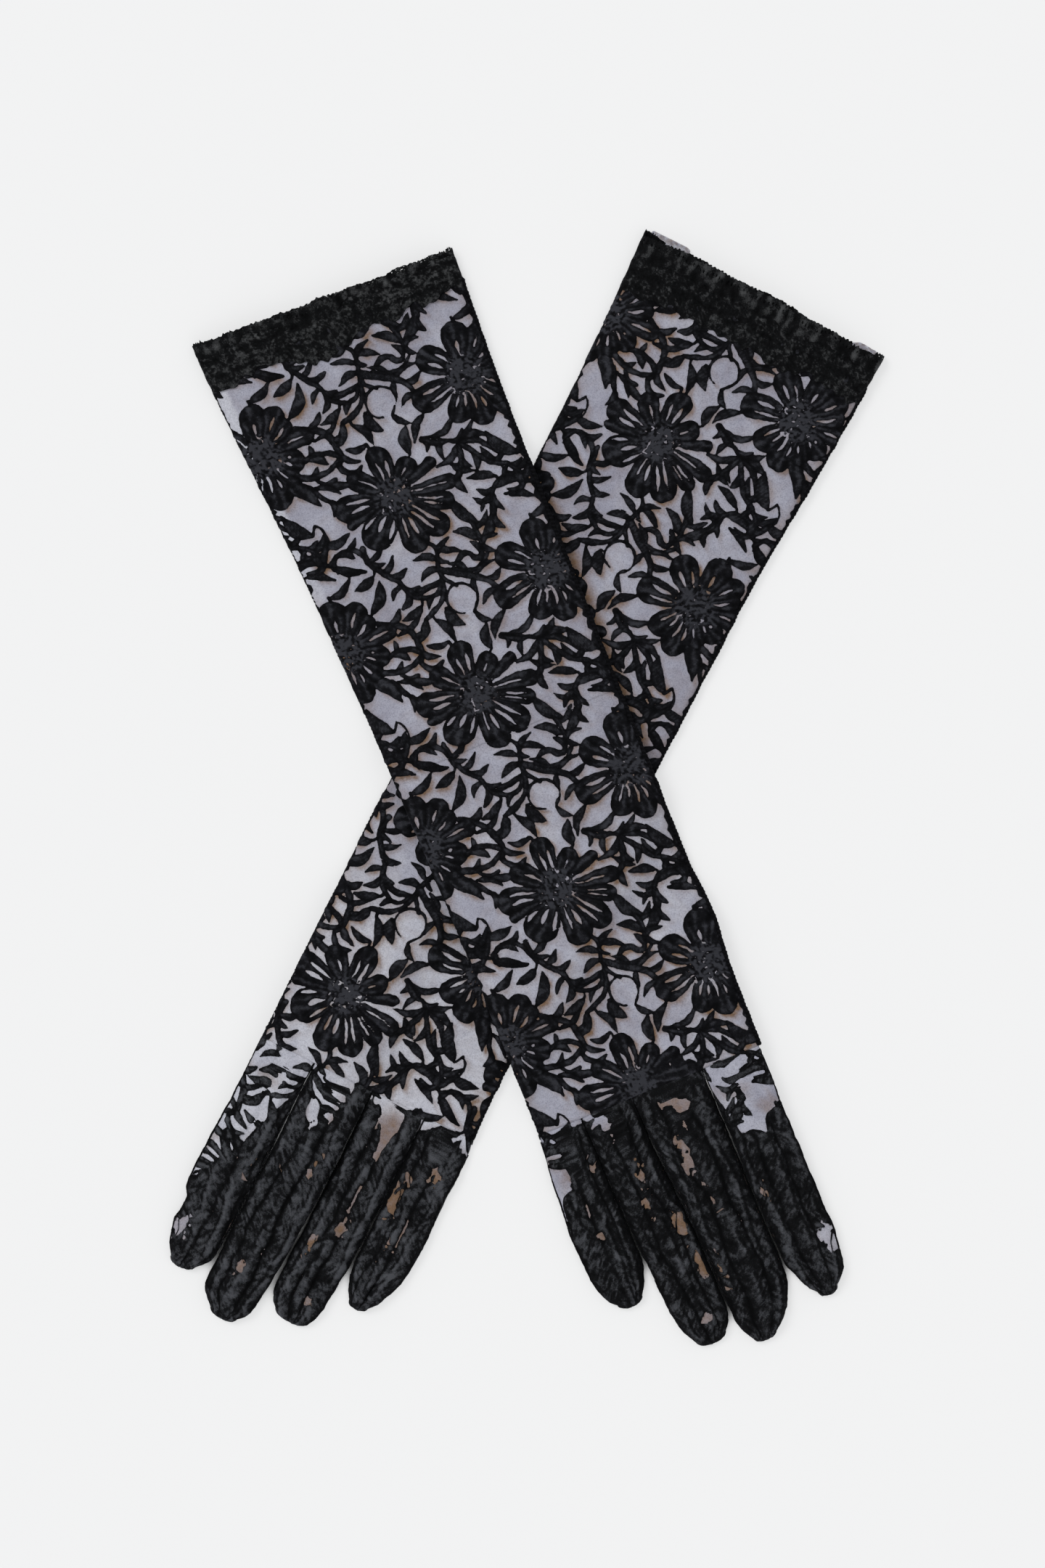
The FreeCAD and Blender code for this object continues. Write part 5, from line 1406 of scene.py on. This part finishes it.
# ------------------------------------------------------------------ thumb stall and gusset, tucked under the palm
def thumb(g):
    px, py, tail, length, half = (262.0, 28.5, 8.0, 46.0, 10.0) if g is RIGHT else (274.5, 29.5, 6.0, 44.5, 10.0)

    def surface(x, th, inset=0.0):
        x, th = np.broadcast_arrays(np.asarray(x, float), np.asarray(th, float))
        end = np.clip((x - (length - 10)) / 10.0, 0, 1)
        start = np.clip((-tail + 5 - x) / 5.0, 0, 1)
        f = np.sqrt(np.clip(1 - end ** 2.2, 0, 1)) * np.sqrt(np.clip(1 - 0.8 * start ** 2, 0, 1))
        w = (half - 0.2 - 1.1 * smooth(10, length, x)) * f - inset
        p = 2.8
        cx = np.sign(np.cos(th)) * np.abs(np.cos(th)) ** (2 / p)
        sz = np.sign(np.sin(th)) * np.abs(np.sin(th)) ** (2 / p)
        H = 3.15 * np.sqrt(np.clip(1 - end ** 2.2, 0, 1)) + 0.02
        u = py + np.maximum(w, 0.02) * cx
        z = 0.55 + 3.20 * 0.48 + np.maximum(H / 2 - inset, 0.01) * sz + 0.22 * fractal(N2, x / 5.0 + 3, u / 6.0) * (sz > 0) * np.abs(sz)
        return px + x, u, z

    def skin(th0, th1, nth, step, strip):
        x = np.concatenate([np.arange(-tail + 0.2, length - 9, step), np.linspace(length - 9, length - 0.05, int(9 / step / .8))])
        th = np.linspace(th0, th1, nth)
        X, TH = x[:, None] + 0 * th[None, :], th[None, :] + 0 * x[:, None]
        S, u, z = surface(X, TH)
        P = world(g, S, u, z)
        thread = 0.5 * fractal(N3, S / 0.9, u / 3.2) + 0.5 * fractal(N4, (S + u) / 1.7, (S - u) / 2.4)
        F0, relief0, tone0 = lace_fields(g, 1, u * g.hand + 17, S + 11)
        dense = smooth(8, 18, X)
        F = F0 - 7 * dense
        relief = lerp(relief0 * 0.6, 0.16 + 0.14 * thread, dense) - (0.08 if strip else 0)
        tone = lerp(tone0, 0.28 + 0.4 * thread + 0.4 * fractal(N1, S / 3, u / 1.6), dense)
        if strip:
            F = F - 6
        wdt = np.minimum(TH - th0, th1 - TH) / (th1 - th0) * nth
        F = np.maximum(np.minimum(F, 3), 1.0 - wdt)
        F = np.maximum(F, -tail + 0.5 - X)
        out = P - world(g, S, py + 0 * S, z.mean(axis=1, keepdims=True) + 0 * z)
        return cut_sheet(P, F, relief, np.full(F.shape, -0.18), out, {"tone": tone})

    a0 = 0.42
    name = g.name + "_thumb"
    back = mesh_object(name + "_stall_back", *skin(a0 - .04, math.pi - a0 + .04, 40, 0.85, False), STALL)
    palm = mesh_object(name + "_stall_palm", *skin(math.pi + a0 - .04, 2 * math.pi - a0 + .04, 40, 0.85, False), STALL)
    four = mesh_object(name + "_stall_fourchette", *join_parts([skin(-a0 - .02, a0 + .02, 12, 0.8, True), skin(math.pi - a0 - .02, math.pi + a0 + .02, 12, 0.8, True)]), STALL)
    x = np.concatenate([np.arange(-tail + 0.8, length - 6, 1.4), np.linspace(length - 6, length - 0.7, 8)])
    th = np.linspace(0, 2 * math.pi, 48, endpoint=False)
    X, TH = x[:, None] + 0 * th[None, :], th[None, :] + 0 * x[:, None]
    S, u, z = surface(X, TH, 0.3)
    _, u2, z2 = surface(X, TH, 0.55)
    v, q = shell(world(g, S, u, z), world(g, S, u2, z2), True)
    if g.hand > 0:
        q = q[:, ::-1]
    gi, gj = np.meshgrid(np.linspace(0.01, 0.99, len(x)), np.linspace(0.01, 0.49, len(th)), indexing="ij")
    uv = np.stack([gj, gi], -1).reshape(-1, 2)
    # an even painted shade on the thumb's net, tucked under the palm
    net = mesh_object(name + "_stall_net", v, None, np.concatenate([uv, uv + [0.5, 0]]), {"warm": np.full(len(v), 0.25), "pale": np.full(len(v), 0.4)}, NET, quads=q)
    for o, node, sl in ((back, "back", "stall_lace"), (palm, "palm", "stall_lace"), (four, "fourchette", "fourchette_lace"), (net, None, "net_lining")):
        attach(o, name)
        if node:
            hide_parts("%s_%s" % (name, node))
    w = 2 * (half - 0.2 - 1.1 * smooth(10, length, np.linspace(0, length, 30)))
    declare(w + 2.0)
    declare(w + 2.0)

    # gusset: a small soft-cornered patch, edge-stitched to the underside of the palm
    n = 46
    a, b = np.meshgrid(np.linspace(-1, 1, n), np.linspace(-1, 1, n), indexing="ij")
    S, u = px + a * 8.2, py + b * 9.2
    rr = (np.abs(a) ** 2.6 + np.abs(b) ** 2.6) ** (1 / 2.6)
    _, z = tube(g, S, ((u - (edge(g.thumb, S) - edge(g.little, S)) / 2) / ((edge(g.thumb, S) + edge(g.little, S)) / 2)), -1)
    z = np.where(z > 1.0, z - 0.12, z)
    P = world(g, S, u, z)
    F = (rr - 0.93) * 8
    stitch = np.exp(-((rr - 0.80) / 0.05) ** 2) * (0.5 + 0.5 * np.cos(np.arctan2(b, a) * 44))
    relief = 0.12 + 0.10 * stitch + 0.05 * fractal(N3, S / 1.2, u / 1.2)
    out = np.zeros_like(P)
    out[..., 2] = -1
    gus = mesh_object(g.name + "_thumb_gusset_patch", *cut_sheet(P, F, relief, np.full(F.shape, -0.05), out, {"tone": 0.25 + 0.5 * stitch + 0.3 * fractal(N2, S / 2, u / 2)}), LACE)
    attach(gus, "right_hand" if g is RIGHT else "left_glove")
    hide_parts(g.name + "_thumb_gusset")


print("thumbs")
thumb(RIGHT)
thumb(LEFT)

# ------------------------------------------------------------------ floor, light, camera
me = bpy.data.meshes.new("floor")
me.from_pydata([(-4, -4, -0.0002), (4, -4, -0.0002), (4, 4, -0.0002), (-4, 4, -0.0002)], [], [(0, 1, 2, 3)])
floor = bpy.data.objects.new("floor", me)
bpy.context.scene.collection.objects.link(floor)
fm, nt, b = nodes_of("floor_paper")
b.inputs["Base Color"].default_value = (0.943, 0.943, 0.943, 1)
b.inputs["Roughness"].default_value = 0.95
b.inputs["Specular IOR Level"].default_value = 0.0
# a light table: most of the sheet's brightness comes through it, so the shadows stay faint
glow = nt.nodes.new("ShaderNodeEmission")
glow.inputs["Color"].default_value = (0.993, 0.997, 1.0, 1)
glow.inputs["Strength"].default_value = 0.893
share = nt.nodes.new("ShaderNodeMixShader")
ao = nt.nodes.new("ShaderNodeAmbientOcclusion")
ao.samples = 12
ao.inputs["Distance"].default_value = 0.007
# the glow is cut where ambient occlusion is low, so it doesn't come up through the slits between the stalls
lit = nt.nodes.new("ShaderNodeMapRange")
lit.interpolation_type = "SMOOTHSTEP"
for key, value in (("From Min", 0.26), ("From Max", 0.60), ("To Min", 0.0), ("To Max", 0.66)):
    lit.inputs[key].default_value = value
nt.links.new(ao.outputs["AO"], lit.inputs["Value"])
nt.links.new(lit.outputs["Result"], share.inputs[0])
# painted shade: the floor's own colour is darkened where ambient occlusion is low, in the slits between the stalls and
# close under the gloves
slit = nt.nodes.new("ShaderNodeMapRange")
slit.interpolation_type = "SMOOTHSTEP"
for key, value in (("From Min", 0.10), ("From Max", 0.36), ("To Min", 0.05), ("To Max", 0.943)):
    slit.inputs[key].default_value = value
nt.links.new(ao.outputs["AO"], slit.inputs["Value"])
nt.links.new(slit.outputs["Result"], b.inputs["Base Color"])
nt.links.new(b.outputs[0], share.inputs[1])
nt.links.new(glow.outputs[0], share.inputs[2])
nt.links.new(share.outputs[0], [n for n in nt.nodes if n.type == "OUTPUT_MATERIAL"][0].inputs["Surface"])
me.materials.append(fm)

scene = bpy.context.scene
scene.view_settings.view_transform = "Standard"
scene.view_settings.look = "None"
wd = bpy.data.worlds.new("studio")
scene.world = wd
wd.use_nodes = True
wd.node_tree.nodes["Background"].inputs["Color"].default_value = (0.985, 0.99, 1.0, 1)
wd.node_tree.nodes["Background"].inputs["Strength"].default_value = 0.62


def sun(name, direction, power, angle):
    L = bpy.data.lights.new(name, "SUN")
    L.energy, L.angle = power, math.radians(angle)
    o = bpy.data.objects.new(name, L)
    o.rotation_euler = Vector(direction).to_track_quat("-Z", "Y").to_euler()
    scene.collection.objects.link(o)


sun("key", (0.55, -0.45, -0.85), 1.05, 28)
sun("fill", (-0.3, 0.5, -0.9), 0.30, 60)

cam = bpy.data.cameras.new("camera")
co = bpy.data.objects.new("camera", cam)
scene.collection.objects.link(co)
dist = 2.2
cam.sensor_fit = "VERTICAL"
cam.sensor_height = 24.0
frame_h = 2160 * 0.2557 / 1000 * 1.006
cam.lens = 24.0 * dist / frame_h
cam.clip_end = 50
co.location = (-0.00075, 0.0016, dist)
co.rotation_euler = (0, 0, 0)
cam.dof.use_dof = False
scene.camera = co
